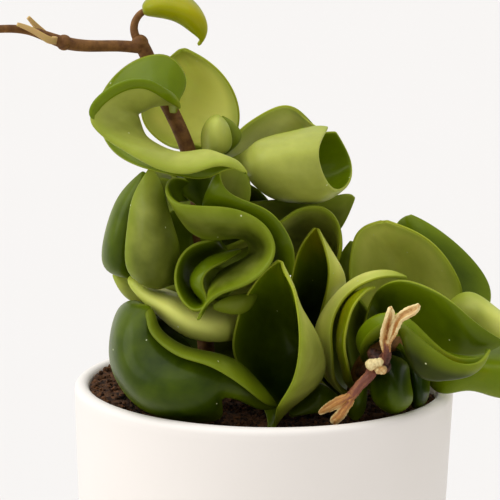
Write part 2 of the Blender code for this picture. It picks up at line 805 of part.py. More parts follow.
def end_row(centre, beside, half_width, way, way_beside):
    """A short straight row at a blade's end, square to its way there and turned from the row beside."""
    spread = np.linspace(-1.0, 1.0, len(beside))[:, None]
    across = turned_with(beside[-1] - beside[0], way_beside, way)
    across = across - way * (across @ way) / (way @ way)
    return centre + spread * unit(across) * half_width


def blade_grid(base, rows, tip, along, across, tip_half_width=TIP_HALF_WIDTH):
    """Points of the blade's middle surface, by a spline along the rows and then one across them."""
    middles = [row.mean(axis=0) for row in rows]
    cage = [end_row(base, rows[0], PETIOLE_HALF_WIDTH, middles[0] - base, middles[1] - middles[0]), *rows]
    if tip is not None:
        cage.append(end_row(tip, rows[-1], tip_half_width, tip - middles[-1], middles[-1] - middles[-2]))
    cage = np.array(cage)
    steps = np.linalg.norm(np.diff(cage, axis=0), axis=2).mean(axis=1) ** 0.75
    stations = np.concatenate([[0.0], np.cumsum(steps)])
    share = np.linspace(0.0, 1.0, along + 1)
    eased = 0.35 * (0.5 - 0.5 * np.cos(np.pi * share)) + 0.65 * share
    points = cage.shape[1]
    lines = natural_curve(stations, cage.reshape(len(cage), -1), eased * stations[-1])
    lines = lines.reshape(along + 1, points, 3)
    places = np.linspace(-1.0, 1.0, points)
    read_at = np.linspace(-1.0, 1.0, across + 1)
    return np.array([natural_curve(places, line, read_at) for line in lines])


def blade_thickness(along, across):
    """Thickness at each grid point: stout at the petiole, thin at the margin and the tip."""
    share = np.linspace(0.0, 1.0, along + 1)[:, None]
    side = np.linspace(-1.0, 1.0, across + 1)[None, :]
    swell = (1 - side**4) * np.clip(4 * (1 - share), 0, 1)
    thickness = MARGIN_THICKNESS + (BLADE_THICKNESS - MARGIN_THICKNESS) * swell
    return thickness + (PETIOLE_THICKNESS - thickness) * np.clip(1 - 8 * share, 0, 1)


def both_sides(grid, thickness):
    """The grid moved half its thickness to either side, as one list of points."""
    normals = np.cross(np.gradient(grid, axis=0), np.gradient(grid, axis=1))
    normals /= np.maximum(np.linalg.norm(normals, axis=2, keepdims=True), 1e-9)
    offset = normals * thickness[..., None] / 2
    return np.concatenate([(grid + offset).reshape(-1, 3), (grid - offset).reshape(-1, 3)])


def seated_grid(leaf, along, across):
    """The blade's grid with its petiole stopped short of its stem by the seat gap."""
    rows = [np.array([placed(p) for p in row]) for row in leaf["rows"]]
    tip = None if leaf["tip"] is None else placed(leaf["tip"])
    base = placed(leaf["base"])
    if leaf["stem"] is None:
        return blade_grid(base, rows, tip, along, across)
    centres, radii = stem_line(*STEMS[leaf["stem"]], 400)
    i = int(np.argmin(np.linalg.norm(centres - base, axis=1)))
    axis = unit(centres[min(i + 1, 399)] - centres[max(i - 1, 0)])
    outward = rows[0].mean(axis=0) - centres[i]
    outward = unit(outward - axis * (outward @ axis))
    thickness = blade_thickness(along, across)
    reach = radii[i] + 1.25
    for _ in range(5):
        grid = blade_grid(centres[i] + outward * reach, rows, tip, along, across)
        petiole = both_sides(grid[:3], thickness[:3])
        clear = np.linalg.norm(petiole[:, None] - centres[None], axis=2) - radii[None]
        reach += SEAT_GAP - clear.min()
    return grid


def sunk_grid(leaf, along, across):
    """The blade's grid with its petiole starting on the centre line of the stem it grows from."""
    centres, _ = stem_line(*STEMS[leaf["stem"]], 400)
    i = int(np.argmin(np.linalg.norm(centres - placed(leaf["base"]), axis=1)))
    rows = [np.array([placed(p) for p in row]) for row in leaf["rows"]]
    return blade_grid(centres[i], rows, placed(leaf["tip"]), along, across, HIDDEN_TIP_HALF_WIDTH)


def rear_grid(stem, bends, along, across):
    """The grid of a leaf that leaves its stem at a height and curls over as it goes."""
    shape = dict(zip(REAR_BENDS, bends))
    centres, _ = stem_line(*STEMS[stem], 400)
    start = centres[int(np.argmin(np.abs(centres[:, 2] - shape["height"])))]
    point = start.copy()
    rows = []
    steps = 40
    outline = dict(REAR_OUTLINE)
    for k in range(1, steps + 1):
        share = k / steps
        pitch = math.radians(shape["rise"] + shape["curl"] * share)
        heading = math.radians(shape["heading"] + shape["turn"] * share)
        twist = math.radians(shape["twist"]) * share
        flat = np.array([math.cos(heading), math.sin(heading), 0.0])
        ahead = flat * math.cos(pitch) + np.array([0.0, 0.0, math.sin(pitch)])
        point = point + ahead * shape["length"] / steps
        if share not in outline:
            continue
        side = np.array([-math.sin(heading), math.cos(heading), 0.0])
        over = np.cross(ahead, side)
        level = side
        side = level * math.cos(twist) + over * math.sin(twist)
        over = over * math.cos(twist) - level * math.sin(twist)
        fold = math.radians(shape["fold"]) * min(1.0, 0.4 + 1.2 * share)
        width = shape["half"] * outline[share]
        lift = over * width * math.sin(fold)
        reach = side * width * math.cos(fold)
        rows.append(np.array([point + reach + lift, point, point - reach + lift]))
    return blade_grid(start, rows, point, along, across, HIDDEN_TIP_HALF_WIDTH)


def blade_object(name, grid, material):
    """A closed blade: the grid as a sheet, given its thickness by a Solidify weighted at each point."""
    along, across = grid.shape[0] - 1, grid.shape[1] - 1
    mesh = bpy.data.meshes.new(name)
    work = bmesh.new()
    points = [work.verts.new(p * MM) for p in grid.reshape(-1, 3)]
    width = across + 1
    for i in range(along):
        for j in range(across):
            a, b = points[i * width + j], points[i * width + j + 1]
            c, d = points[(i + 1) * width + j + 1], points[(i + 1) * width + j]
            work.faces.new((a, d, c))
            work.faces.new((a, c, b))
    work.to_mesh(mesh)
    work.free()
    blade = bpy.data.objects.new(name, mesh)
    bpy.context.scene.collection.objects.link(blade)
    weights = blade.vertex_groups.new(name="thickness")
    for i, value in enumerate(blade_thickness(along, across).reshape(-1)):
        weights.add([i], value / PETIOLE_THICKNESS, "REPLACE")
    thicken = blade.modifiers.new("thickness", "SOLIDIFY")
    thicken.thickness = PETIOLE_THICKNESS * MM
    thicken.offset = 0.0
    thicken.vertex_group = weights.name
    mesh.materials.append(principled(material))
    return blade


def tube_object(name, centres, radii, material):
    """A closed round stem through the centres."""
    ahead = np.gradient(centres, axis=0)
    ahead /= np.linalg.norm(ahead, axis=1, keepdims=True)
    side = unit(np.cross(ahead[0], [0.3, 1.0, 0.1]))
    work = bmesh.new()
    rings = []
    for centre, radius, forward in zip(centres, radii, ahead):
        side = unit(side - forward * (side @ forward))
        other = np.cross(forward, side)
        ring = []
        for k in range(STEM_SIDES):
            angle = 2 * math.pi * k / STEM_SIDES
            outward = math.cos(angle) * side + math.sin(angle) * other
            ring.append(work.verts.new((centre + radius * outward) * MM))
        rings.append(ring)
    for lower, upper in zip(rings, rings[1:]):
        for k in range(STEM_SIDES):
            after = (k + 1) % STEM_SIDES
            work.faces.new((lower[k], lower[after], upper[after], upper[k]))
    work.faces.new(list(reversed(rings[0])))
    work.faces.new(rings[-1])
    mesh = bpy.data.meshes.new(name)
    work.to_mesh(mesh)
    work.free()
    mesh.polygons.foreach_set("use_smooth", [True] * len(mesh.polygons))
    mesh.materials.append(principled(material))
    tube = bpy.data.objects.new(name, mesh)
    bpy.context.scene.collection.objects.link(tube)
    return tube


def knot_object(name, place, radius, material):
    """A small round swelling."""
    work = bmesh.new()
    bmesh.ops.create_icosphere(work, subdivisions=1, radius=radius * MM)
    bmesh.ops.translate(work, vec=tuple(placed(place) * MM), verts=work.verts)
    mesh = bpy.data.meshes.new(name)
    work.to_mesh(mesh)
    work.free()
    mesh.materials.append(principled(material))
    knot = bpy.data.objects.new(name, mesh)
    bpy.context.scene.collection.objects.link(knot)
    return knot


def join_as_one(main, others):
    """Joins the others to the main piece by one union, so that the node is a single solid."""
    grown = bpy.data.collections.new(main.name + "_grown")
    bpy.context.scene.collection.children.link(grown)
    for piece in others:
        bpy.context.scene.collection.objects.unlink(piece)
        grown.objects.link(piece)
    union = main.modifiers.new("grown_together", "BOOLEAN")
    union.operation = "UNION"
    union.solver = "EXACT"
    union.operand_type = "COLLECTION"
    union.collection = grown
    bpy.context.view_layer.objects.active = main
    bpy.ops.object.modifier_apply(modifier=union.name)
    for piece in others:
        bpy.data.objects.remove(piece, do_unlink=True)
    bpy.data.collections.remove(grown)


def cut_out(target, cutter):
    """Cuts the cutter's shape out of the target, and keeps the cutter as a hidden wire."""
    cutter.hide_render = True
    cutter.display_type = "WIRE"
    cut = target.modifiers.new("cut_" + cutter.name, "BOOLEAN")
    cut.operation = "DIFFERENCE"
    cut.solver = "EXACT"
    cut.object = cutter


def lathed(name, profile, material):
    """A closed turned piece from its (radius, height) profile, written from the axis round to the axis."""
    mesh = bpy.data.meshes.new(name)
    points = [(radius * MM, 0.0, height * MM) for radius, height in profile]
    edges = [(i, i + 1) for i in range(len(points) - 1)]
    mesh.from_pydata(points, edges, [])
    turned = bpy.data.objects.new(name, mesh)
    bpy.context.scene.collection.objects.link(turned)
    screw = turned.modifiers.new("turned", "SCREW")
    screw.axis = "Z"
    screw.angle = 2 * math.pi
    screw.steps = POT_SEGMENTS
    screw.render_steps = POT_SEGMENTS
    screw.use_merge_vertices = True
    screw.merge_threshold = 0.00001
    screw.use_smooth_shade = True
    screw.use_normal_flip = True
    mesh.materials.append(principled(material))
    return turned


def make_pot():
    profile = [
        (0.0, 0.0),
        (POT_BASE_RADIUS - POT_CHAMFER, 0.0),
        (POT_BASE_RADIUS, POT_CHAMFER),
        (POT_TOP_RADIUS, POT_HEIGHT - RIM_DROP),
        (POT_TOP_RADIUS - 0.6, POT_HEIGHT - 0.9),
        (POT_TOP_RADIUS - 1.8, POT_HEIGHT - 0.1),
        (POT_TOP_RADIUS - 3.0, POT_HEIGHT),
        (INNER_TOP_RADIUS + 0.6, POT_HEIGHT - 0.8),
        (INNER_TOP_RADIUS, POT_HEIGHT - RIM_DROP),
        (INNER_FLOOR_RADIUS, POT_FLOOR + 3.0),
        (INNER_FLOOR_RADIUS - 2.0, POT_FLOOR + 0.6),
        (INNER_FLOOR_RADIUS - 4.6, POT_FLOOR),
        (0.0, POT_FLOOR),
    ]
    return lathed("pot", profile, "glazed_pot")


def soil_height(x, y):
    """How high the soil stands at a place: level in front, banked up behind and at the left."""
    behind = min(max((y - BANK_BEHIND[0]) / BANK_BEHIND[1], 0.0), 1.0)
    left = min(max((-x - BANK_LEFT[0]) / BANK_LEFT[1], 0.0), 1.0)
    return SOIL_TOP + SOIL_BANK * max(behind, left)


def make_soil():
    """The soil that fills the pot, uneven on top, with plain holes for the stems and a standing leaf."""
    slope = (INNER_TOP_RADIUS - INNER_FLOOR_RADIUS) / (POT_HEIGHT - RIM_DROP - POT_FLOOR - 3.0)
    edge_radius = INNER_FLOOR_RADIUS + slope * (SOIL_TOP - POT_FLOOR - 3.0) - SOIL_GAP
    wall = [
        (INNER_FLOOR_RADIUS - 4.8, POT_FLOOR + SOIL_GAP),
        (INNER_FLOOR_RADIUS - 2.3, POT_FLOOR + 0.9),
        (INNER_FLOOR_RADIUS - SOIL_GAP - 0.1, POT_FLOOR + 3.4),
    ]
    surface = [edge_radius, 50.0, 38.0, 25.0, 12.0]
    random = np.random.default_rng(7)
    work = bmesh.new()
    foot = work.verts.new((0, 0, (POT_FLOOR + SOIL_GAP) * MM))
    peak = work.verts.new((0, 0, SOIL_TOP * MM))
    rings = []
    for radius, height in wall + [(r, None) for r in surface]:
        ring = []
        for k in range(POT_SEGMENTS):
            angle = 2 * math.pi * k / POT_SEGMENTS
            bump = random.uniform(-SOIL_BUMP, SOIL_BUMP)
            x = radius * math.cos(angle)
            y = radius * math.sin(angle)
            z = soil_height(x, y) + bump if height is None else height
            ring.append(work.verts.new((x * MM, y * MM, z * MM)))
        rings.append(ring)
    for k in range(POT_SEGMENTS):
        after = (k + 1) % POT_SEGMENTS
        for lower, upper in zip(rings, rings[1:]):
            work.faces.new((lower[k], lower[after], upper[after], upper[k]))
        work.faces.new((foot, rings[0][after], rings[0][k]))
        work.faces.new((peak, rings[-1][k], rings[-1][after]))
    bmesh.ops.triangulate(work, faces=work.faces)
    mesh = bpy.data.meshes.new("soil")
    work.to_mesh(mesh)
    work.free()
    mesh.materials.append(principled("potting_soil"))
    soil = bpy.data.objects.new("soil", mesh)
    bpy.context.scene.collection.objects.link(soil)
    for stem in (LEFT_STEM, RIGHT_STEM):
        centres, radii = stem_line(*STEMS[stem], 60)
        near_soil = centres[:, 2] < SOIL_TOP + 4
        centres, radii = centres[near_soil], radii[near_soil]
        below = centres[0] - unit(centres[1] - centres[0]) * HOLE_GAP
        hole_centres = np.vstack([below, centres])
        hole_radii = np.append(radii[0], radii) + HOLE_GAP
        cut_out(soil, tube_object(stem + "_hole", hole_centres, hole_radii, "potting_soil"))
    leaf_hole = np.array([placed(p) for p in LEAF_HOLE_LINE])
    leaf_hole_radii = np.full(len(leaf_hole), LEAF_HOLE_RADIUS)
    cut_out(soil, tube_object("leaf_hole", leaf_hole, leaf_hole_radii, "potting_soil"))
    return soil


def make_left_stem():
    main = tube_object("left_rope_stem", *stem_line(*STEMS[LEFT_STEM], 24), "stem_bark")
    grown = [
        tube_object("runner", *stem_line(*STEMS[RUNNER], 16), "stem_bark"),
        tube_object("shoot", *stem_line(*STEMS[SHOOT], 8), "stem_bark"),
    ]
    for i, (place, radius) in enumerate(LEFT_KNOTS):
        grown.append(knot_object(f"left_knot_{i}", place, radius, "stem_bark"))
    for leaf in INNER_LEAVES:
        grown.append(blade_object(leaf["name"], sunk_grid(leaf, *GROWN_GRID), leaf["material"]))
    for i, bends in enumerate(REAR_LEFT_LEAVES):
        grid = rear_grid(LEFT_STEM, bends, *GROWN_GRID)
        grown.append(blade_object(f"rear_leaf_{i}", grid, "green_leaf"))
    join_as_one(main, grown)


def make_right_stem():
    main = tube_object("right_rope_stem", *stem_line(*STEMS[RIGHT_STEM], 14), "stem_bark")
    grown = []
    for i, bends in enumerate(REAR_RIGHT_LEAVES):
        grid = rear_grid(RIGHT_STEM, bends, *GROWN_GRID)
        grown.append(blade_object(f"rear_right_leaf_{i}", grid, "green_leaf"))
    join_as_one(main, grown)


def make_flower_stalk():
    main = tube_object("dry_flower_stalk", *stem_line(*STALKS[0], 16), "dry_stalk")
    grown = []
    for i, stalk in enumerate(STALKS[1:]):
        grown.append(tube_object(f"stalk_{i}", *stem_line(*stalk, 7), "dry_stalk"))
    for i, (place, radius) in enumerate(STALK_KNOTS):
        grown.append(knot_object(f"stalk_knot_{i}", place, radius, "dry_stalk"))
    join_as_one(main, grown)


def make_leaves():
    for leaf in LEAVES:
        points = len(leaf["rows"][0])
        across = 6 if points < 5 else 2 * (points - 1)
        along = max(9, min(MOST_ALONG, 2 * len(leaf["rows"])))
        if len(leaf["rows"]) < 4:
            along, across = GROWN_GRID
        if leaf["material"] == "young_scale":
            across = 2
        blade_object(leaf["name"], seated_grid(leaf, along, across), leaf["material"])


clear_scene()
make_pot()
make_soil()
make_left_stem()
make_right_stem()
make_flower_stalk()
make_leaves()
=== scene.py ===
# %% [markdown]
# # Hindu rope plant in a white pot
# A wax plant whose thick leaves fold and curl round two short stems like a rope, in a plain white
# ceramic pot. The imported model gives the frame: a piece that stands for a CAD solid lies where that
# solid lies, and gets the finer form and the finish that the real plant has.

# %% Load the frame
import math

import bpy
import numpy as np
from mathutils import Matrix, Vector


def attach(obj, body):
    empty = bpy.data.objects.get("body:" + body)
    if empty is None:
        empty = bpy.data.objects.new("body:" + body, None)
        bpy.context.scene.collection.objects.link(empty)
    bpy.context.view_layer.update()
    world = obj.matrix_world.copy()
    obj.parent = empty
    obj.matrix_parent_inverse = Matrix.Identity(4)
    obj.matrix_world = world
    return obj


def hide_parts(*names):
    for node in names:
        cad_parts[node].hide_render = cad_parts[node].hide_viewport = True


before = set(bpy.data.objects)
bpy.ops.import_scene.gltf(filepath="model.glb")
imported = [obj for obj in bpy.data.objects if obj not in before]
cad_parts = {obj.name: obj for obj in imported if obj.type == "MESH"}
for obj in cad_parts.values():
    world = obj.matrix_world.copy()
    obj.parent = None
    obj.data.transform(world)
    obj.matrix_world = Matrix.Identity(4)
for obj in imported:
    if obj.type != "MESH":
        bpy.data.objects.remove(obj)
bpy.ops.object.select_all(action="DESELECT")
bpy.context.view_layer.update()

# %% [markdown]
# ## Points read in the front view
# The leaves have no straight edge to measure from, so each was read as points across the
# front view, with a third number for how many millimetres nearer the viewer the point lies than
# the middle of the pot's rim. One function turns such a point into its place in the room.

# %% Place a front-view point
MM = 0.001
POT_HEIGHT = 110.0
VIEW_LEAN = math.radians(11.7)
VIEW_ROLL = math.radians(0.8)
VIEW_DISTANCE = 1200.0
VIEW_SCALE = 3.026
VIEW_CENTRE = 250.0
VIEW_ACROSS = -5.2
VIEW_UP = 43.6
TOWARD_VIEWER = np.array([0.0, -math.cos(VIEW_LEAN), math.sin(VIEW_LEAN)])
UP_VIEW = np.array([0.0, math.sin(VIEW_LEAN), math.cos(VIEW_LEAN)])


def placed(point):
    """A front-view point (across, down, near) as millimetres in the room."""
    across, down, near = point
    x, y = across - VIEW_CENTRE, down - VIEW_CENTRE
    turned_x = x * math.cos(VIEW_ROLL) + y * math.sin(VIEW_ROLL)
    turned_y = y * math.cos(VIEW_ROLL) - x * math.sin(VIEW_ROLL)
    scale = VIEW_SCALE * VIEW_DISTANCE / (VIEW_DISTANCE - near)
    height = VIEW_UP - turned_y / scale
    side = turned_x / scale + VIEW_ACROSS
    return np.array([side, 0.0, POT_HEIGHT]) + height * UP_VIEW + near * TOWARD_VIEWER


def unit(vector):
    """The same direction with length one."""
    return vector / max(np.linalg.norm(vector), 1e-6)


# %% [markdown]
# ## Soft curves through the points
# Stems and blades bend evenly, as a bent wire does. A natural cubic spline has that bend: it
# passes through every point and has no corner anywhere.

# %% Splines
def natural_curve(stations, values, at):
    """A natural cubic spline through values at the stations, read at the places in at."""
    stations = np.asarray(stations, float)
    values = np.asarray(values, float)
    count = len(stations)
    gaps = np.diff(stations)
    matrix = np.eye(count)
    right = np.zeros((count, values.shape[1]))
    for i in range(1, count - 1):
        matrix[i, i - 1 : i + 2] = gaps[i - 1], 2 * (gaps[i - 1] + gaps[i]), gaps[i]
        after = (values[i + 1] - values[i]) / gaps[i]
        before = (values[i] - values[i - 1]) / gaps[i - 1]
        right[i] = 3 * (after - before)
    bend = np.linalg.solve(matrix, right)
    i = np.clip(np.searchsorted(stations, at, side="right") - 1, 0, count - 2)
    step = (at - stations[i])[:, None]
    gap = gaps[i][:, None]
    slope = (values[i + 1] - values[i]) / gap - gap * (2 * bend[i] + bend[i + 1]) / 3
    return values[i] + slope * step + bend[i] * step**2 + (bend[i + 1] - bend[i]) / (3 * gap) * step**3


def stem_line(points, radii, count):
    """Evenly spaced centres and radii along a stem."""
    centres = np.array([placed(p) for p in points])
    lengths = np.linalg.norm(np.diff(centres, axis=0), axis=1)
    stations = np.concatenate([[0.0], np.cumsum(lengths)])
    at = np.linspace(0.0, stations[-1], count)
    return natural_curve(stations, centres, at), np.interp(at, stations, radii)


# %% [markdown]
# ## Nodes and colours
# Colours are written as the sRGB hex values that a paint card would carry, and one function turns
# them into the linear values that a shader works in. One more function adds a shader node with its
# settings, its socket values and the links that feed it. The others are for what comes up again
# and again: a ramp or a mix of colours, a mark that a mesh carries, and a modifier that is applied.

# %% Colour, node and modifier helpers
def linear(hex_colour):
    """An sRGB hex colour as linear red, green, blue and alpha."""
    parts = [int(hex_colour[i : i + 2], 16) / 255 for i in (1, 3, 5)]
    return (*[p / 12.92 if p <= 0.04045 else ((p + 0.055) / 1.055) ** 2.4 for p in parts], 1.0)


def add_node(tree, kind, values=None, links=None, **settings):
    """Adds one node: settings are its own choices, values fill its sockets and links feed them."""
    node = tree.nodes.new(kind)
    for name, value in settings.items():
        setattr(node, name, value)
    for socket, value in (values or {}).items():
        node.inputs[socket].default_value = value
    for socket, source in (links or {}).items():
        tree.links.new(source, node.inputs[socket])
    return node


def new_material(name):
    """A new node material with its tree and its shader, ready for colour and bump."""
    material = bpy.data.materials.new(name)
    material.use_nodes = True
    return material, material.node_tree, material.node_tree.nodes["Principled BSDF"]


def colour_ramp(tree, factor, stops):
    """A ramp of colours over a factor. Each stop is its place from 0 to 1 and a hex colour."""
    ramp = add_node(tree, "ShaderNodeValToRGB", links={"Fac": factor})
    elements = ramp.color_ramp.elements
    for place, _ in stops[1:-1]:
        elements.new(place)
    for element, (place, colour) in zip(elements, stops):
        element.position = place
        element.color = linear(colour)
    return ramp.outputs["Color"]


def mixed_colour(tree, factor, start, end):
    """A mix of two colours by a factor. Each is a hex colour or the output of a node."""
    mix = add_node(tree, "ShaderNodeMix", data_type="RGBA")
    tree.links.new(factor, mix.inputs["Factor"])
    for socket, colour in (("A", start), ("B", end)):
        if isinstance(colour, str):
            mix.inputs[socket].default_value = linear(colour)
        else:
            tree.links.new(colour, mix.inputs[socket])
    return mix.outputs["Result"]


def read_mark(tree, label, output="Fac"):
    """The value that each point of a mesh carries under a label."""
    return add_node(tree, "ShaderNodeAttribute", attribute_name=label).outputs[output]


def shape_by(piece, label, kind, **settings):
    """Gives the active piece a modifier with its settings, and applies it."""
    modifier = piece.modifiers.new(label, kind)
    for name, value in settings.items():
        setattr(modifier, name, value)
    bpy.ops.object.modifier_apply(modifier=modifier.name)


def lumps(label, kind, size):
    """A pattern of lumps of a size in metres, to displace a surface by."""
    texture = bpy.data.textures.new(label, kind)
    texture.noise_scale = size
    return texture


# %% [markdown]
# ## The blade's two sides
# A leaf of this plant is a thick, succulent blade. Its upper side has a waxy cuticle: deep green,
# with soft window-like highlights, cloudy variation and a few tiny white flecks. Its underside is
# a paler yellow-green with a dull bloom. The margin is a thin, light line where the cuticle ends.
# Leaves turn from deep green to yellow-green where they are young or grew in the light, so each
# has its own tones from stalk to tip. The tones also hold painted light and shade: a stretch that
# lies in shadow is given a lower tone as painted shade, down to the darkest folds, and a brightly
# lit one a paler tone as painted light. The patterns follow the blade: they read a UV map laid out
# in millimetres along and across each leaf, and how far each point is from the margin. The sizes
# below are in millimetres.
#
# A finish has four colours, for the tones -0.5 (painted shade for the darkest folds), 0 (deep
# green), 1 (pale) and 2 (young). The tone that each point of a leaf carries picks a colour between them.

# %% Leaf materials
BLADE_MAP = "blade"
CLOUD_SIZE = 11.0
CLOUD_DEPTH = 0.14
WAVE_SIZE = 5.0
PORE_SIZE = 0.55
FLECK_SPACING = 4.2
FLECK_COLOUR = "#d9dcb8"
GLOW_REACH = 8.0
GLOW_SHARE = 0.5
# the tone -0.5 is painted shade, for the darkest folds
TONES = (-0.5, 0.0, 1.0, 2.0)


def leaf_finish(name, tone_name, colours, glow, roughness, coat, fleck_share):
    """Waxy leaf skin: a cloudy green between the tones, a light margin, flecks and fine pores."""
    material, tree, shader = new_material(name)
    blade = add_node(tree, "ShaderNodeUVMap", uv_map=BLADE_MAP).outputs[0]
    clouds = add_node(
        tree, "ShaderNodeTexNoise", {"Scale": 1 / CLOUD_SIZE, "Detail": 3.0}, {"Vector": blade}
    )
    drift = add_node(
        tree, "ShaderNodeMapRange",
        {"From Min": 0.3, "From Max": 0.7, "To Min": -CLOUD_DEPTH, "To Max": CLOUD_DEPTH},
        {"Value": clouds.outputs["Fac"]},
    )
    # the leaf's tone mark holds painted light and shade as well as its own colour, plus the clouds
    tone = add_node(
        tree, "ShaderNodeMath", links={0: read_mark(tree, tone_name), 1: drift.outputs[0]}, operation="ADD"
    )
    darkest, span = TONES[0], TONES[-1] - TONES[0]
    share = add_node(
        tree, "ShaderNodeMapRange", {"From Min": darkest, "From Max": TONES[-1]},
        {"Value": tone.outputs[0]},
    )
    stops = [((place - darkest) / span, colour) for place, colour in zip(TONES, colours)]
    green = colour_ramp(tree, share.outputs[0], stops)
    thin = add_node(
        tree, "ShaderNodeMapRange",
        {"From Min": GLOW_REACH, "From Max": 0.0, "To Min": 0.0, "To Max": GLOW_SHARE},
        {"Value": read_mark(tree, "edge")}, interpolation_type="SMOOTHSTEP",
    )
    edged = mixed_colour(tree, thin.outputs[0], green, glow)
    flecks = add_node(tree, "ShaderNodeTexVoronoi", {"Scale": 1 / FLECK_SPACING}, {"Vector": blade})
    dot = add_node(
        tree, "ShaderNodeMapRange", {"From Min": 0.085, "From Max": 0.04},
        {"Value": flecks.outputs["Distance"]},
    )
    chance = add_node(tree, "ShaderNodeSeparateColor", links={"Color": flecks.outputs["Color"]})
    some = add_node(
        tree, "ShaderNodeMath", {1: fleck_share}, {0: chance.outputs[0]}, operation="LESS_THAN"
    )
    shown = add_node(
        tree, "ShaderNodeMath", links={0: dot.outputs[0], 1: some.outputs[0]}, operation="MULTIPLY"
    )
    flecked = mixed_colour(tree, shown.outputs[0], edged, FLECK_COLOUR)
    pores = add_node(
        tree, "ShaderNodeTexNoise", {"Scale": 1 / PORE_SIZE, "Detail": 2.0}, {"Vector": blade}
    )
    waves = add_node(
        tree, "ShaderNodeTexNoise", {"Scale": 1 / WAVE_SIZE, "Detail": 1.0}, {"Vector": blade}
    )
    wavy = add_node(
        tree, "ShaderNodeBump", {"Strength": 0.35, "Distance": 0.0006}, {"Height": waves.outputs["Fac"]}
    )
    skin = add_node(
        tree, "ShaderNodeBump", {"Strength": 0.18, "Distance": 0.00012},
        {"Height": pores.outputs["Fac"], "Normal": wavy.outputs[0]},
    )
    tree.links.new(flecked, shader.inputs["Base Color"])
    tree.links.new(skin.outputs[0], shader.inputs["Normal"])
    shader.inputs["Roughness"].default_value = roughness
    shader.inputs["IOR"].default_value = 1.4
    shader.inputs["Specular IOR Level"].default_value = 0.2
    shader.inputs["Coat Weight"].default_value = coat
    shader.inputs["Coat Roughness"].default_value = 0.16
    shader.inputs["Subsurface Weight"].default_value = 0.12
    shader.inputs["Subsurface Radius"].default_value = (0.6, 1.0, 0.15)
    shader.inputs["Subsurface Scale"].default_value = 0.002
    return material


# waxy cuticle: deep green with a satin gloss, lighter where the blade thins out to its margin;
# its first colour is painted shade for the darkest folds
leaf_upper = leaf_finish(
    "waxy_cuticle", "upper_tone_light_and_shade", ("#0e1a01", "#243602", "#728404", "#b2a604"),
    glow="#74840c", roughness=0.42, coat=0.2, fleck_share=0.18,
)
# the underside's bloom: paler and duller, because its fine wax powder scatters the light;
# its first colour is painted shade for the darkest folds
leaf_under = leaf_finish(
    "leaf_underside_bloom", "under_tone_light_and_shade", ("#181e02", "#465008", "#b6bb5e", "#eaea88"),
    glow="#90a01c", roughness=0.5, coat=0.12, fleck_share=0.2,
)
# the margin between them: thin tissue without wax, so a light and dull rim runs round each leaf;
# its first colour is painted shade for the darkest folds
leaf_rim = leaf_finish(
    "leaf_margin", "under_tone_light_and_shade", ("#3c4808", "#66741a", "#a2a83c", "#bcbc44"),
    glow="#88942a", roughness=0.5, coat=0.03, fleck_share=0.0,
)
# the runner's small leaves: dried, papery and buff, without any gloss
dry_scale = leaf_finish(
    "papery_scale", "upper_tone_light_and_shade", ("#a8844e", "#a8844e", "#d8bc84", "#d8bc84"),
    glow="#b08c58", roughness=0.7, coat=0.0, fleck_share=0.0,
)
LEAF_LOOKS = (leaf_upper, leaf_under, leaf_rim)
print("leaf materials:", leaf_upper.name, leaf_under.name, leaf_rim.name, dry_scale.name)

# %% [markdown]
# ## Pot
# A straight, slightly flared planter in matt white glazed ceramic with a softly rounded lip. It
# could be a lathe curve, but a disc that is extruded and scaled ring by ring is how a hand would
# do it in edit mode, and it leaves clean rings of quads.

# %% Glazed ceramic
# glazed stoneware: warm white, dull sheen, the faintest unevenness from the dip
glaze, tree, shader = new_material("matt_white_glaze")
where = add_node(tree, "ShaderNodeTexCoord").outputs["Object"]
dip = add_node(tree, "ShaderNodeTexNoise", {"Scale": 1 / 0.035, "Detail": 2.0}, {"Vector": where})
body = mixed_colour(tree, dip.outputs["Fac"], "#ede7e0", "#f1ebe5")
grain = add_node(tree, "ShaderNodeTexNoise", {"Scale": 1 / 0.0012, "Detail": 3.0}, {"Vector": where})
orange_peel = add_node(
    tree, "ShaderNodeBump", {"Strength": 0.12, "Distance": 0.00015}, {"Height": grain.outputs["Fac"]}
)
tree.links.new(body, shader.inputs["Base Color"])
tree.links.new(orange_peel.outputs[0], shader.inputs["Normal"])
shader.inputs["Roughness"].default_value = 0.5
shader.inputs["IOR"].default_value = 1.5

# %% Pot, ring by ring
POT_SIDES = 192
POT_RINGS = [
    (57.0, 0.0), (57.8, 0.25), (58.2, 1.2), (60.3, 55.0), (62.4, 105.5), (62.5, 107.6), (62.35, 108.5),
    (61.9, 109.2), (61.2, 109.7), (60.4, 109.95), (59.5, 110.0), (58.8, 109.8), (58.2, 109.35),
    (57.75, 108.6), (57.5, 107.6), (57.36, 104.0), (53.4, 8.0), (51.4, 5.6), (48.8, 5.0),
]
bpy.ops.mesh.primitive_circle_add(vertices=POT_SIDES, radius=POT_RINGS[0][0] * MM, fill_type="NGON")
pot = bpy.context.object
pot.name = "white_pot"
bpy.ops.object.mode_set(mode="EDIT")
for (radius, height), (next_radius, next_height) in zip(POT_RINGS, POT_RINGS[1:]):
    lift = (0, 0, (next_height - height) * MM)
    bpy.ops.mesh.extrude_region_move(TRANSFORM_OT_translate={"value": lift})
    share = next_radius / radius
    bpy.ops.transform.resize(value=(share, share, 1), center_override=(0, 0, next_height * MM))
bpy.ops.mesh.select_all(action="SELECT")
bpy.ops.mesh.normals_make_consistent(inside=False)
bpy.ops.object.mode_set(mode="OBJECT")
bpy.ops.object.shade_smooth_by_angle(angle=math.radians(50))
pot.data.materials.append(glaze)
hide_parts("pot")
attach(pot, "root")
print("pot:", len(pot.data.polygons), "faces")

# %% [markdown]
# ## Soil
# Potting soil is bark fines and peat: dark brown crumbs of up to about three millimetres. A plug
# with a remeshed, displaced top gives the uneven ground, and loose crumbs on it catch the light as
# the real ones do. The ground alone would look like painted plaster.
#
# The crumbs are one mesh that is made another way: turned and stretched copies of one dented ball
# are written as points and faces, because joining thousands of objects takes too long.

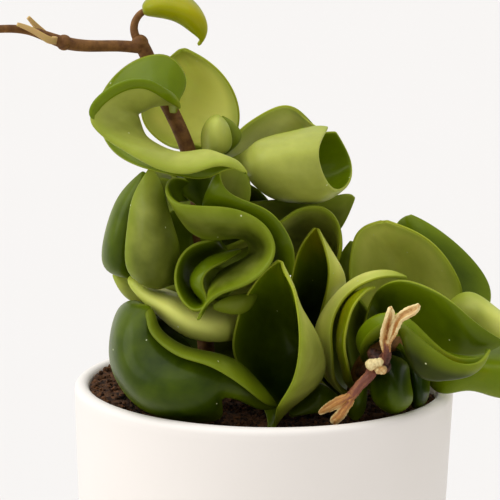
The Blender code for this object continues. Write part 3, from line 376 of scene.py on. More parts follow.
# %% Soil material
# peat and bark fines: dark crumbs, each of its own brown, and no gloss at all
soil_look, tree, shader = new_material("bark_and_peat")
where = add_node(tree, "ShaderNodeTexCoord").outputs["Object"]
crumb = add_node(tree, "ShaderNodeTexVoronoi", {"Scale": 1 / 0.0013}, {"Vector": where})
grey = add_node(tree, "ShaderNodeSeparateColor", links={"Color": crumb.outputs["Color"]})
earth = mixed_colour(tree, grey.outputs[0], "#1d110a", "#6e4a2c")
fine = add_node(tree, "ShaderNodeTexNoise", {"Scale": 1 / 0.0006, "Detail": 4.0}, {"Vector": where})
rough = add_node(
    tree, "ShaderNodeBump", {"Strength": 0.7, "Distance": 0.0005}, {"Height": fine.outputs["Fac"]}
)
tree.links.new(earth, shader.inputs["Base Color"])
tree.links.new(rough.outputs[0], shader.inputs["Normal"])
shader.inputs["Roughness"].default_value = 0.95

# %% Soil plug
SOIL_LOW = 5.3
SOIL_TOP = 104.0
SOIL_BLANK_RADIUS = 58.3
SOIL_GRAIN = 1.1
GROUND_DEPTH = 0.4
# the plug's foot and the corner above it, as radius and height, and how the pot's wall leans
SOIL_FOOT_RADIUS = 49.0
SOIL_CORNER = (53.2, 8.0)
CORNER_SLOPE = 1.5
WALL_SLOPE = (57.5 - 53.4) / (107.6 - 8.0)
# how far the bank rises, and where it starts and how soon it is at its full height
SOIL_BANK = 4.6
BANK_BEHIND = (35.0, 7.0)
BANK_LEFT = (36.0, 10.0)


def soil_reach(height):
    """How far the soil may reach from the middle at a height, so that it stays off the pot's wall."""
    if height > SOIL_CORNER[1]:
        return SOIL_CORNER[0] + WALL_SLOPE * (height - SOIL_CORNER[1])
    return SOIL_FOOT_RADIUS + (height - SOIL_LOW) * CORNER_SLOPE


def soil_height(x, y):
    """How high the soil stands at a place: level in front, banked up behind and at the left."""
    behind = min(max((y - BANK_BEHIND[0]) / BANK_BEHIND[1], 0.0), 1.0)
    left = min(max((-x - BANK_LEFT[0]) / BANK_LEFT[1], 0.0), 1.0)
    bank = max(behind, left)
    return SOIL_TOP + SOIL_BANK * bank * bank * (3 - 2 * bank)


bpy.ops.mesh.primitive_cylinder_add(
    vertices=128, radius=SOIL_BLANK_RADIUS * MM, depth=(SOIL_TOP - SOIL_LOW) * MM,
    location=(0, 0, (SOIL_TOP + SOIL_LOW) / 2 * MM),
)
soil = bpy.context.object
soil.name = "soil_plug"
bpy.ops.object.transform_apply(location=True)
soil.data.remesh_voxel_size = SOIL_GRAIN * MM
bpy.ops.object.voxel_remesh()
ground = soil.vertex_groups.new(name="ground")
for vertex in soil.data.vertices:
    height = vertex.co.z / MM
    if height > SOIL_TOP - GROUND_DEPTH:
        ground.add([vertex.index], 1.0, "REPLACE")
        height += soil_height(vertex.co.x / MM, vertex.co.y / MM) - SOIL_TOP
        vertex.co.z = height * MM
    reach = math.hypot(vertex.co.x, vertex.co.y) / MM
    inward = min(1.0, soil_reach(height) / reach) if reach else 1.0
    vertex.co.x *= inward
    vertex.co.y *= inward
for label, kind, size, depth in (("hills", "CLOUDS", 9.0, 1.0), ("clods", "VORONOI", 2.0, 1.4)):
    shape_by(
        soil, label, "DISPLACE", texture=lumps(label, kind, size * MM), texture_coords="LOCAL",
        direction="Z", strength=-depth * MM, mid_level=0.5, vertex_group=ground.name,
    )
bpy.ops.object.shade_smooth()
soil.data.materials.append(soil_look)
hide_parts("soil")
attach(soil, "root")
print("soil:", len(soil.data.polygons), "faces, top", round(max(v.co.z for v in soil.data.vertices), 4))

# %% Loose crumbs
CRUMBS = 2600
CRUMB_FIELD_RADIUS = 56.6
SMALLEST_CRUMB, CRUMB_RANGE = 0.35, 0.75
CRUMB_SINKS, CRUMB_HEAPS = 0.15, 0.5
chance = np.random.default_rng(11)
bpy.ops.mesh.primitive_ico_sphere_add(subdivisions=2, radius=1.0 * MM)
crumb_seed = bpy.context.object
shape_by(crumb_seed, "fewer_faces", "DECIMATE", ratio=0.6)
shape_by(
    crumb_seed, "dent", "DISPLACE", texture=lumps("lump", "CLOUDS", 0.9 * MM), texture_coords="LOCAL",
    strength=1.1 * MM,
)
form = np.array([v.co for v in crumb_seed.data.vertices])
faces = np.array([f.vertices for f in crumb_seed.data.polygons])
bpy.data.objects.remove(crumb_seed, do_unlink=True)
corners, triangles = [], []
for i in range(CRUMBS):
    reach = CRUMB_FIELD_RADIUS * math.sqrt(chance.uniform(0.01, 1))
    heading = chance.uniform(0, 2 * math.pi)
    x, y = reach * math.cos(heading), reach * math.sin(heading)
    size = SMALLEST_CRUMB + CRUMB_RANGE * chance.uniform() ** 2
    turn = np.array(Matrix.Rotation(chance.uniform(0, 2 * math.pi), 3, chance.normal(size=3)))
    stretch = size * chance.uniform(0.7, 1.25, 3)
    height = soil_height(x, y) - CRUMB_SINKS + chance.uniform(0, CRUMB_HEAPS)
    place = np.array([x, y, height]) * MM
    corners.append((form * stretch) @ turn.T + place)
    triangles.append(faces + i * len(form))
mesh = bpy.data.meshes.new("soil_crumbs")
mesh.from_pydata(np.concatenate(corners).tolist(), [], np.concatenate(triangles).tolist())
crumbs = bpy.data.objects.new("soil_crumbs", mesh)
bpy.context.scene.collection.objects.link(crumbs)
bpy.ops.object.select_all(action="DESELECT")
bpy.context.view_layer.objects.active = crumbs
crumbs.select_set(True)
bpy.ops.object.shade_smooth()
crumbs.data.materials.append(soil_look)
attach(crumbs, "root")
print("crumbs:", len(crumbs.data.polygons), "faces")

# %% [markdown]
# ## Stems
# The stems are woody vines, brown with darker places. A curve with a radius at each point is the
# natural tool: it is turned into a mesh once its shape is right.

# %% Bark material
# young bark: warm brown with cloudy darker places, a slightly rough skin and no gloss
bark, tree, shader = new_material("young_bark")
where = add_node(tree, "ShaderNodeTexCoord").outputs["Object"]
patches = add_node(
    tree, "ShaderNodeTexNoise", {"Scale": 1 / 0.003, "Detail": 5.0, "Roughness": 0.65}, {"Vector": where}
)
wood = colour_ramp(tree, patches.outputs["Fac"], ((0.35, "#5e3a14"), (0.68, "#8a6230")))
scars = add_node(
    tree, "ShaderNodeBump", {"Strength": 0.6, "Distance": 0.0006}, {"Height": patches.outputs["Fac"]}
)
tree.links.new(wood, shader.inputs["Base Color"])
tree.links.new(scars.outputs[0], shader.inputs["Normal"])
shader.inputs["Roughness"].default_value = 0.7

# %% Stem points
# each stem: the points of its centre line and the radius at each of them
STEMS = {
    "left_stem": (
        [
            (213, 430, 10), (212, 412, 10), (206, 350, 8), (203, 300, 10), (200, 250, 12),
            (198, 200, 14), (191, 160, 15), (181, 132, 15), (168, 105, 14), (156, 80, 12),
            (148, 58, 12), (140, 42, 13),
        ],
        [3, 2.9, 2.8, 2.8, 2.7, 2.6, 2.6, 2.5, 2.5, 2.4, 2.4, 2.4],
    ),
    "runner": (
        [
            (143, 48, 13), (120, 46, 14), (100, 46, 16), (66, 43, 20), (30, 31, 26), (0, 29, 32),
            (-60, 38, 44),
        ],
        [2, 1.9, 1.9, 2.1, 1.4, 1.3, 1.1],
    ),
    "shoot": (
        [
            (141, 46, 13), (134, 28, 13), (137, 18, 13), (143, 12, 14), (150, 9, 15),
        ],
        [1.5, 1.3, 1.2, 1.1, 1],
    ),
    "right_stem": (
        [
            (352, 425, 8), (352, 405, 10), (356, 385, 16), (362, 365, 20), (378, 350, 21),
            (405, 342, 17), (435, 338, 10),
        ],
        [2.8, 2.7, 2.6, 2.5, 2.4, 2.2, 1.8],
    ),
}
# each swollen joint: its place and its radius
KNOTS = [((140, 43, 13), 2.8), ((64, 42.5, 20.3), 2.6)]
STEM_RINGS = 140


# %% Grow a stem
def grow_tube(name, centres, radii, look):
    """A round tube through the centres, from a curve turned into a mesh."""
    bpy.ops.object.select_all(action="DESELECT")
    bpy.ops.curve.primitive_nurbs_path_add()
    line = bpy.context.object
    line.data.splines.clear()
    spline = line.data.splines.new("POLY")
    spline.points.add(len(centres) - 1)
    for point, centre, radius in zip(spline.points, centres, radii):
        point.co = (*(centre * MM), 1)
        point.radius = radius
    line.data.bevel_depth = MM
    line.data.bevel_resolution = 6
    line.data.use_fill_caps = True
    line.data.dimensions = "3D"
    bpy.ops.object.convert(target="MESH")
    tube = bpy.context.object
    tube.name = name
    tube.data.materials.clear()
    tube.data.materials.append(look)
    bpy.ops.object.shade_smooth_by_angle(angle=math.radians(60))
    return tube


# the runner and the shoot grow out of the left stem, so they stand for the same solid
for stem in STEMS:
    centres, radii = stem_line(*STEMS[stem], STEM_RINGS)
    tube = grow_tube(stem + "_wood", centres, radii, bark)
    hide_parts("right_rope_stem" if stem == "right_stem" else "left_rope_stem")
    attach(tube, "root")
    print(tube.name, len(tube.data.polygons), "faces")

# %% Swollen joints
for i, (place, radius) in enumerate(KNOTS):
    bpy.ops.mesh.primitive_uv_sphere_add(segments=24, ring_count=16, radius=radius * MM)
    knot = bpy.context.object
    knot.name = f"joint_{i}"
    knot.location = placed(place) * MM
    bpy.ops.object.transform_apply(location=True)
    bpy.ops.object.shade_smooth()
    knot.data.materials.append(bark)
    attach(knot, "root")
print("joints:", len(KNOTS))

# %% [markdown]
# ## Blades
# Every leaf is a sheet before it is a solid: a plane that is bent through rows of points from its
# stalk to its tip. That bend is made another way: the points of a grid are moved onto splines along
# and across the rows, because no modelling tool bends a plane through given points. Solidify then
# gives it a stout stalk, a fleshy middle and a thin margin, and a subdivision rounds it.

# %% Surface of a blade
PETIOLE_HALF_WIDTH = 1.3
TIP_HALF_WIDTH = 0.6
HIDDEN_TIP_HALF_WIDTH = 1.2
PETIOLE_THICKNESS = 2.2
BLADE_THICKNESS = 1.8
MARGIN_THICKNESS = 1.1
# rows that lie close together count for a little more than their distance, which calms the spline
SPACING_POWER = 0.75
EASED_SHARE = 0.35


def turned_with(vector, start, end):
    """The vector turned the way that takes direction start to direction end."""
    start, end = unit(start), unit(end)
    axis = np.cross(start, end)
    cosine = start @ end
    return vector * cosine + np.cross(axis, vector) + axis * (axis @ vector) / (1 + cosine + 1e-6)


def end_row(centre, beside, half_width, way, way_beside):
    """A short straight row at a blade's end, square to its way there and turned from the row beside."""
    spread = np.linspace(-1.0, 1.0, len(beside))[:, None]
    across = turned_with(beside[-1] - beside[0], way_beside, way)
    across = across - way * (across @ way) / (way @ way)
    return centre + spread * unit(across) * half_width


def blade_grid(base, rows, tip, along, across, tip_half_width=TIP_HALF_WIDTH):
    """Points of the blade's middle surface, by a spline along the rows and then one across them."""
    middles = [row.mean(axis=0) for row in rows]
    cage = [end_row(base, rows[0], PETIOLE_HALF_WIDTH, middles[0] - base, middles[1] - middles[0]), *rows]
    if tip is not None:
        cage.append(end_row(tip, rows[-1], tip_half_width, tip - middles[-1], middles[-1] - middles[-2]))
    cage = np.array(cage)
    steps = np.linalg.norm(np.diff(cage, axis=0), axis=2).mean(axis=1) ** SPACING_POWER
    stations = np.concatenate([[0.0], np.cumsum(steps)])
    share = np.linspace(0.0, 1.0, along + 1)
    eased = EASED_SHARE * (0.5 - 0.5 * np.cos(np.pi * share)) + (1 - EASED_SHARE) * share
    points = cage.shape[1]
    lines = natural_curve(stations, cage.reshape(len(cage), -1), eased * stations[-1])
    lines = lines.reshape(along + 1, points, 3)
    places = np.linspace(-1.0, 1.0, points)
    read_at = np.linspace(-1.0, 1.0, across + 1)
    return np.array([natural_curve(places, line, read_at) for line in lines])


def blade_thickness(along, across):
    """Thickness at each grid point: stout at the petiole, thin at the margin and the tip."""
    share = np.linspace(0.0, 1.0, along + 1)[:, None]
    side = np.linspace(-1.0, 1.0, across + 1)[None, :]
    swell = (1 - side**4) * np.clip(4 * (1 - share), 0, 1)
    thickness = MARGIN_THICKNESS + (BLADE_THICKNESS - MARGIN_THICKNESS) * swell
    return thickness + (PETIOLE_THICKNESS - thickness) * np.clip(1 - 8 * share, 0, 1)


# %% Where a blade meets its stem
STEM_STEPS = 400
# a petiole starts this share of the stem's radius away from the stem's centre line
SEAT_SHARE = 0.6


def placed_rows(rows):
    """Rows of front-view points as rows of points in the room."""
    return [np.array([placed(p) for p in row]) for row in rows]


def seated_grid(stem, base, rows, tip, along, across):
    """The blade's grid with its petiole starting in its stem, on the side that it leaves it from."""
    rows = placed_rows(rows)
    tip = None if tip is None else placed(tip)
    if stem is None:
        return blade_grid(placed(base), rows, tip, along, across)
    centres, radii = stem_line(*STEMS[stem], STEM_STEPS)
    i = int(np.argmin(np.linalg.norm(centres - placed(base), axis=1)))
    axis = unit(centres[min(i + 1, STEM_STEPS - 1)] - centres[max(i - 1, 0)])
    outward = rows[0].mean(axis=0) - centres[i]
    outward = unit(outward - axis * (outward @ axis))
    return blade_grid(centres[i] + outward * radii[i] * SEAT_SHARE, rows, tip, along, across)


def sunk_grid(stem, base, rows, tip, along, across):
    """The blade's grid with its petiole starting on the centre line of its stem."""
    centres, _ = stem_line(*STEMS[stem], STEM_STEPS)
    i = int(np.argmin(np.linalg.norm(centres - placed(base), axis=1)))
    return blade_grid(centres[i], placed_rows(rows), placed(tip), along, across, HIDDEN_TIP_HALF_WIDTH)


# %% Turn a grid into a fleshy leaf
def bent_sheet(name, grid):
    """A plane bent through a grid of points, with the row and column that each of its points has."""
    along, across = grid.shape[0] - 1, grid.shape[1] - 1
    bpy.ops.object.select_all(action="DESELECT")
    bpy.ops.mesh.primitive_grid_add(x_subdivisions=across, y_subdivisions=along, size=2)
    sheet = bpy.context.object
    sheet.name = name
    sheet.data.name = name
    flat = np.array([v.co for v in sheet.data.vertices])
    column = np.rint((flat[:, 0] + 1) / 2 * across).astype(int)
    row = np.rint((flat[:, 1] + 1) / 2 * along).astype(int)
    sheet.data.vertices.foreach_set("co", (grid[row, column] * MM).ravel())
    return sheet, row, column


def write_marks(mesh, marks):
    """Lets each point of a mesh carry values under their labels, for a material to read."""
    for label, values in marks.items():
        values = np.asarray(values, np.float32)
        kind, field = ("FLOAT_VECTOR", "vector") if values.ndim == 2 else ("FLOAT", "value")
        mesh.attributes.new(label, kind, "POINT").data.foreach_set(field, values.ravel())


def fleshy_blade(name, grid, up, upper_tone_light_and_shade, under_tone_light_and_shade, looks):
    """A leaf with an upper side, an underside and a margin, from the grid of its middle surface."""
    along, across = grid.shape[0] - 1, grid.shape[1] - 1
    leaf, row, column = bent_sheet(name, grid)
    mesh = leaf.data
    steps_across = np.linalg.norm(np.diff(grid, axis=1), axis=2)
    steps_along = np.linalg.norm(np.diff(grid, axis=0), axis=2).mean(axis=1)
    breadth = np.concatenate([np.zeros((along + 1, 1)), np.cumsum(steps_across, axis=1)], axis=1)
    length = np.concatenate([[0.0], np.cumsum(steps_along)])
    middle = breadth - breadth[:, -1:] / 2
    edge = np.minimum(breadth, breadth[:, -1:] - breadth)
    layout = mesh.uv_layers[0]
    layout.name = BLADE_MAP
    corner = np.array([loop.vertex_index for loop in mesh.loops])
    across_mm = middle[row, column][corner]
    along_mm = length[row][corner]
    layout.data.foreach_set("uv", np.stack([across_mm, along_mm], axis=1).astype(np.float32).ravel())
    share = row / along
    # the tones carry the leaf's own colour and its painted light and shade, from stalk to tip
    write_marks(mesh, {
        "edge": edge[row, column],
        "upper_tone_light_and_shade": np.interp(share, np.linspace(0, 1, len(upper_tone_light_and_shade)), upper_tone_light_and_shade),
        "under_tone_light_and_shade": np.interp(share, np.linspace(0, 1, len(under_tone_light_and_shade)), under_tone_light_and_shade),
    })
    stout = leaf.vertex_groups.new(name="stout")
    weights = blade_thickness(along, across)[row, column] / PETIOLE_THICKNESS
    for i, weight in enumerate(weights):
        stout.add([i], float(weight), "REPLACE")
    upper, under, rim = looks
    for look in (under, upper, rim) if up > 0 else (upper, under, rim):
        mesh.materials.append(look)
    shape_by(
        leaf, "thicken", "SOLIDIFY", thickness=PETIOLE_THICKNESS * MM, offset=0.0,
        vertex_group=stout.name, material_offset=1, material_offset_rim=2,
    )
    shape_by(leaf, "soften", "SUBSURF", levels=1, render_levels=1)
    bpy.ops.object.shade_smooth()
    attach(leaf, "root")
    return leaf


# %% [markdown]
# ## The leaves
# Each leaf is written as the stem it grows from, which face of its sheet is the upper side (1 or
# -1), the tones of its upper side and of its underside from stalk to tip, the point it leaves the
# stem at, the rows across its blade and its tip. The tones are partly painted light and shade:
# lower where a leaf lies in shadow, below 0 for the deepest, and higher where it is brightly lit.
# A side with one tone has that tone all over.
#
# Most leaves stand for a solid of the frame, or for a part of the left stem's solid that is grown
# into it. The nine in `FILLERS` stand for none and bear nothing: eight close dark hollows between
# the others, with low tones that are partly painted shade, and `lobe_leaf` is the small lobe under
# the curl in the middle.

# %% Leaf rows
# tones: the leaf's own colour, with painted shade (low, below 0) and painted light (high)
LEAVES = {
    "loop_leaf": (
        "left_stem", -1, (1.8, 0.8, 0.8, 0.7, 0.7), (0.9, 0.7, 0.7, 0.8, 1.1), (174, 108, 14), [
            [(178, 109, 24), (178, 107, 25), (177, 104, 24), (177, 101, 22)],
            [(169, 103, 36), (172, 95, 36), (168, 103, 29), (183, 93, 22)],
            [(160, 97, 40), (164, 91, 40), (160, 104, 30), (187, 79, 21)],
            [(148, 90, 42), (151, 84.5, 42), (151, 106, 30), (172, 56, 20)],
            [(133, 89, 43), (134, 83.5, 43), (144, 110, 30), (146, 55, 18)],
            [(114, 97, 44), (113, 91, 44), (137, 114, 30), (119, 70, 17)],
            [(97, 115, 44), (96, 111, 44), (139, 122, 31), (97, 104, 18)],
            [(104, 133, 44), (106, 131, 44), (144, 135, 33), (103, 138, 22)],
            [(129, 151, 45), (133, 149, 46), (159, 147, 38), (122, 159, 27)],
            [(162, 168, 46), (166, 165, 47), (184, 154, 41), (152, 171, 36)],
            [(192, 171, 46), (196, 167, 47), (207, 151, 42), (185, 178, 38)],
            [(215, 165, 47), (217, 162, 48), (224, 157, 44), (209, 178, 41)],
            [(233, 167, 46), (234, 165, 47), (238, 163, 44), (230, 169, 44)],
        ], (247, 174, 43),
    ),
    "spoon_leaf": (
        "left_stem", 1, (0.9,), (0.6, 1.3, 2.3, 2, 0.9), (188, 147, 14), [
            [(163, 143, 4), (190, 138, 0), (226, 146, 6)],
            [(141, 118, 3), (190, 112, -8), (240, 122, 6)], [(150, 82, 3), (196, 84, -9), (232, 88, 9)],
            [(166, 61, 5), (190, 62, -3), (210, 63, 9)],
        ], (182, 49, 5),
    ),
    "small_pale_leaf": (
        "left_stem", 1, (0.6,), (0.7, 0.8, 0.9, 1, 0.8), (199, 162, 16), [
            [(204, 159, 19), (206, 156, 20), (209, 154, 19)],
            [(203, 148, 17), (213, 152, 26), (228, 150, 18)],
            [(202, 133, 17), (215, 133, 28), (231, 135, 19)],
            [(208, 121, 17), (216, 121, 25), (226, 123, 19)],
        ], (217, 116, 20),
    ),
    "sweep_leaf": (
        "left_stem", -1, (1.6, 1.4, 0.9, 0.4, 0.5), (0.42,), (205, 200, 16), [
            [(249, 203, 27), (236, 208, 27), (222, 210, 27)],
            [(251, 185, 29), (236, 200, 28), (216, 207, 28)],
            [(244, 169, 31), (230, 190, 30), (210, 205, 30)],
            [(231, 162, 35), (218, 184, 34), (206, 205, 33)],
            [(221, 166, 39), (211, 186, 38), (203, 206, 35)],
            [(222, 183, 42), (212, 196, 40), (206, 210, 35)],
            [(242, 199, 42), (231, 208, 40), (222, 217, 33)],
            [(266, 209, 42), (254, 219, 39), (245, 228, 31)],
            [(284, 227, 41), (273, 237, 38), (266, 245, 30)],
            [(294, 250, 39), (283, 256, 36), (273, 262, 29)],
        ], (291, 275, 33),
    ),
    "s_ribbon_leaf": (
        "left_stem", 1, (0.36,), (0.3, 0.2, 0.17, 0.1, 0), (196, 190, 14), [
            [(190, 181, 22), (189, 190, 20), (190, 200, 19)],
            [(179, 178, 28), (179, 189, 25), (182, 202, 23)],
            [(169, 181, 37), (171, 191, 35), (176, 204, 32)],
            [(167, 192, 43), (171, 200, 41), (178, 212, 36)],
            [(176, 202, 46), (179, 211, 44), (186, 226, 38)],
            [(190, 205, 48), (190, 219, 45), (194, 234, 37)],
            [(215, 206, 48), (214, 223, 46), (212, 240, 36)],
            [(240, 210, 48), (235, 226, 45), (233, 238, 33)],
            [(259, 220, 48), (251, 231, 42), (246, 240, 29)],
            [(271, 234, 48), (262, 243, 40), (249, 248, 26)],
            [(275, 250, 48), (264, 253, 40), (247, 256, 25)],
            [(269, 266, 49), (257, 262, 42), (238, 262, 27)],
            [(256, 279, 50), (244, 274, 44), (222, 270, 31)],
            [(238, 288, 51), (227, 284, 46), (212, 282, 37)],
            [(220, 294, 52), (214, 294, 49), (208, 295, 46)],
            [(207, 305, 54), (207, 303, 53), (209, 301, 50)],
        ], (198, 320, 55),
    ),
    "spiral_leaf": (
        "left_stem", 1, (0.36, 0.3, 0.6, 0.45, 0.36), (0.3,), (206, 236, 15), [
            [(214, 240, 33), (219, 246, 26), (226, 251, 18)],
            [(193, 245, 36), (202, 251, 28), (214, 256, 19)],
            [(178, 262, 38), (189, 263, 28), (203, 264, 18)],
            [(175, 281, 40), (186, 279, 29), (199, 276, 18)],
            [(181, 299, 42), (190, 294, 32), (199, 288, 20)],
            [(196, 311, 44), (200, 305, 36), (204, 297, 24)],
            [(207, 304, 45), (205, 302, 38), (203, 298, 29)],
            [(203, 287, 45), (193, 285, 40), (194, 284, 30)],
            [(207, 272, 44), (199, 268, 38), (200, 268, 29)],
            [(224, 262, 40), (216, 257, 36), (214, 257, 29)],
        ], (241, 250, 33),
    ),
    "left_oval_leaf": (
        "left_stem", 1, (0.3,), (0.2, 0.2, 0.2, 0.45, 1), (200, 262, 12), [
            [(171, 284, 24), (172, 281, 26), (173, 275, 25)],
            [(133, 277, 33), (152, 284, 38), (174, 277, 30)],
            [(125, 256, 34), (151, 260, 41), (180, 256, 30)],
            [(127, 230, 35), (151, 235, 41), (175, 231, 31)],
            [(132, 200, 34), (150, 204, 38), (166, 201, 32)],
            [(141, 181, 32), (150, 183, 33), (160, 181, 32)],
        ], (151, 168, 31),
    ),
    "left_dark_leaf": (
        "left_stem", -1, (0.4, 0.4, 0.35, 0.5, 0.8), (0.4,), (199, 248, 13), [
            [(156, 276, 13), (156, 272, 14), (157, 267, 12)],
            [(127, 277, 18), (134, 272, 20), (148, 262, 15)],
            [(106, 269, 15), (120, 262, 24), (150, 250, 17)],
            [(103, 248, 14), (118, 242, 25), (155, 235, 20)],
            [(112, 212, 16), (125, 212, 25), (150, 212, 22)],
            [(124, 190, 18), (134, 191, 24), (148, 190, 23)],
        ], (145, 172, 23),
    ),
    "left_pale_tip_leaf": (
        "left_stem", 1, (0.3,), (0.8,), (200, 282, 12), [
            [(166, 296, 10), (168, 290, 11), (170, 284, 9)],
            [(145, 304, 7), (143, 292, 11), (147, 281, 7)],
            [(126, 296, 7), (124, 286, 11), (128, 276, 7)],
        ], (114, 273, 9),
    ),
    "pale_band_leaf": (
        "left_stem", 1, (0.5,), (1.5, 1.5, 1.7, 2, 0.2), (205, 320, 10), [
            [(252, 335, 12), (255, 323, 12), (250, 308, 8)],
            [(234, 340, 26), (238, 324, 27), (236, 306, 19)],
            [(212, 342, 35), (214, 324, 37), (216, 304, 26)],
            [(187, 337, 36), (193, 320, 38), (200, 302, 25)],
            [(160, 317, 34), (168, 305, 36), (184, 296, 21)],
            [(138, 296, 30), (148, 292, 31), (166, 290, 18)],
            [(128, 282, 27), (138, 283, 28), (152, 285, 17)],
        ], (134, 276, 22),
    ),
    "shell_leaf": (
        "left_stem", -1, (0.9, 0.5, 0.2, 0.15, -0.2), (-0.3, -0.4, -0.5, 0.1, -0.4), (204, 306, 10), [
            [(150, 314, 20), (150, 312, 20), (150, 309, 20), (150, 305, 18)],
            [(141, 309, 34), (144, 307, 34), (131, 304, 31), (121, 307, 18)],
            [(145, 315, 42), (150, 310, 40), (123, 325, 40), (111, 336, 22)],
            [(148, 328, 47), (154, 325, 43), (124, 352, 46), (113, 372, 28)],
            [(158, 342, 51), (165, 340, 45), (139, 378, 51), (140, 408, 38)],
            [(180, 357, 55), (186, 351, 48), (172, 392, 55), (182, 421, 43)],
            [(206, 365, 57), (210, 355, 49), (206, 392, 54), (222, 418, 42)],
            [(227, 376, 56), (233, 361, 49), (224, 388, 50), (221, 398, 46)],
            [(248, 391, 52), (252, 376, 47), (245, 394, 47), (242, 400, 45)],
            [(267, 405, 45), (270, 397, 44), (264, 406, 42), (261, 408, 41)],
        ], (276, 407, 41),
    ),
    "shell_inner_leaf": (
        "left_stem", 1, (0,), (0,), (208, 372, 9), [
            [(196, 352, 18), (190, 362, 18), (184, 372, 15)],
            [(176, 330, 22), (166, 345, 26), (158, 362, 22)],
            [(162, 318, 22), (150, 330, 28), (143, 345, 24)],
        ], (147, 319, 24),
    ),
    "front_taco_leaf": (
        None, -1, (0.5, -0.4, 0.5, 0.9, 1.1), (0.2, 0.5, 0.7, 1.6, 1.6), (273, 440, 38), [
            [(268, 427, 38), (270, 428, 38), (272, 428, 38.5), (274, 428, 39), (276, 427, 39)],
            [(262, 406, 28), (278, 402, 26), (292, 400, 31), (296, 402, 41), (278, 406, 51)],
            [(245, 378, 28), (278, 378, 18), (311, 378, 24), (318, 380, 38), (291, 383, 56)],
            [(232, 351, 33), (275, 352, 14), (314, 355, 19), (321, 355, 38), (298, 355, 58)],
            [(235, 325, 37), (272, 326, 15), (303, 330, 19), (312, 329, 37), (299, 329, 57)],
            [(241, 305, 39), (270, 305, 20), (292, 308, 23), (299, 307, 38), (297, 306, 55)],
            [(252, 286, 41), (272, 288, 30), (287, 288, 31), (292, 287, 40), (292, 286, 51)],
            [(265, 271, 43), (274, 272, 38), (283, 273, 38), (286, 273, 42), (284, 271, 47)],
        ], (280, 261, 45),
    ),
    "back_taco_leaf": (
        "right_stem", -1, (0.3, 0, 0, 1.1, 2), (2.2,), (353, 394, 4), [
            [(300, 356, 0), (310, 356, -6), (320, 356, -6), (322, 356, -3), (314, 356, 3)],
            [(285, 310, 6), (308, 310, -9), (331, 308, -9), (337, 306, -3), (322, 306, 9)],
            [(291, 277, 12), (313, 278, -3), (336, 279, -2), (343, 277, 7), (328, 272, 19)],
            [(298, 251, 15), (313, 253, 5), (328, 256, 6), (332, 255, 13), (325, 250, 21)],
        ], (316, 228, 17),
    ),
    "right_band_leaf": (
        "right_stem", 1, (1.15,), (2, 2, 2, 1.9, 0.6), (353, 393, 12), [
            [(347, 386, 9), (336, 386, 15), (337, 383, 20)],
            [(345, 350, 2), (321, 352, 12), (333, 355, 27)],
            [(343, 331, 3), (317, 332, 13), (332, 331, 29)],
            [(345, 312, 7), (325, 311, 16), (338, 309, 30)],
            [(352, 295, 13), (342, 290, 20), (352, 291, 31)],
            [(365, 281, 17), (363, 276, 21), (370, 281, 29)],
            [(386, 275, 18), (388, 272, 21), (388, 277, 26)],
        ], (407, 278, 22),
    ),
    "right_green_leaf": (
        "right_stem", -1, (1.4,), (1.8,), (355, 385, 16), [
            [(346, 379, 19), (347, 380, 24), (351, 376, 29)],
            [(344, 368, 14), (344.5, 370, 26), (347, 362, 37)],
            [(341, 345, 14), (338.5, 347, 26), (344.5, 342, 41)],
            [(341, 325, 15), (340.5, 324, 27), (348.5, 320, 42)],
            [(346, 307, 16), (346.5, 304, 26), (355, 304, 41)],
            [(359, 295, 18), (360, 292, 27), (366, 292, 36)],
        ], (375, 288, 30),
    ),
    "right_dark_leaf": (
        "right_stem", -1, (0, 0.2, 0.6, 0.43, 0.38), (0.6,), (372, 355, 21), [
            [(363, 338, 23), (368, 339, 20), (373, 341, 19)],
            [(371, 301, 24), (378, 314, 20), (381, 330, 19)],
            [(385, 284, 34), (391, 305, 26), (395, 330, 23)],
            [(405, 280, 40), (415, 308, 34), (414, 336, 28)],
            [(432, 289, 44), (440, 318, 40), (434, 346, 33)],
            [(455, 304, 46), (460, 330, 44), (456, 354, 38)],
            [(479, 325, 46), (480, 341, 45), (480, 354, 41)],
        ], (503, 342, 43),
    ),
    "right_lip_leaf": (
        "right_stem", 1, (0.8, 0.9, 0.9, 1.4, 0), (0, -0.5, -0.5, 0, 0.4), (368, 360, 21), [
            [(361, 352, 36), (362, 353, 35), (364, 353, 33), (358, 348, 31)],
            [(364, 340, 44), (365, 343, 43), (367, 344, 40), (357, 333, 38)],
            [(379, 325, 49), (381, 329, 49), (383, 332, 46), (374, 315, 42)],
            [(398, 322, 53), (399, 327, 53), (402, 333, 50), (399, 313, 46)],
            [(418, 336, 55), (411, 351, 57), (419, 373, 51), (422, 329, 48)],
            [(438, 352, 56), (438, 366, 56), (447, 378, 49), (438, 345, 49)],
            [(459, 363, 54), (463, 371, 52), (470, 373, 47), (459, 357, 48)],
            [(480, 361, 50), (482, 363, 49), (484, 361, 47), (481, 356, 46)],
        ], (489, 349, 46),
    ),
    "right_round_leaf": (
        "right_stem", 1, (0.6,), (0.4, 0.9, 2.3), (400, 345, 18), [
            [(380, 328, 8), (397, 330, 4), (414, 328, 9)],
            [(351, 292, 4), (398, 303, -8), (460, 304, 13)],
            [(350, 255, 7), (398, 270, -10), (456, 272, 15)],
            [(356, 234, 9), (393, 246, -6), (432, 242, 13)],
            [(370, 224, 9), (385, 230, 3), (402, 226, 10)],
        ], (384, 221, 9),
    ),
    "right_rear_leaf": (
        "right_stem", -1, (0.4, 0.4, 0.4, 0.6, 1.2), (0.6,), (432, 338, 11), [
            [(424, 324, -8), (446, 330, -3), (470, 328, -2)],
            [(398, 298, -24), (445, 298, -12), (491, 302, -12)],
            [(393, 262, -26), (435, 265, -14), (485, 275, -16)],
            [(393, 235, -22), (420, 240, -13), (456, 243, -16)],
            [(400, 220, -18), (412, 222, -15), (426, 222, -16)],
        ], (409, 215, -16),
    ),
    "right_pale_leaf": (
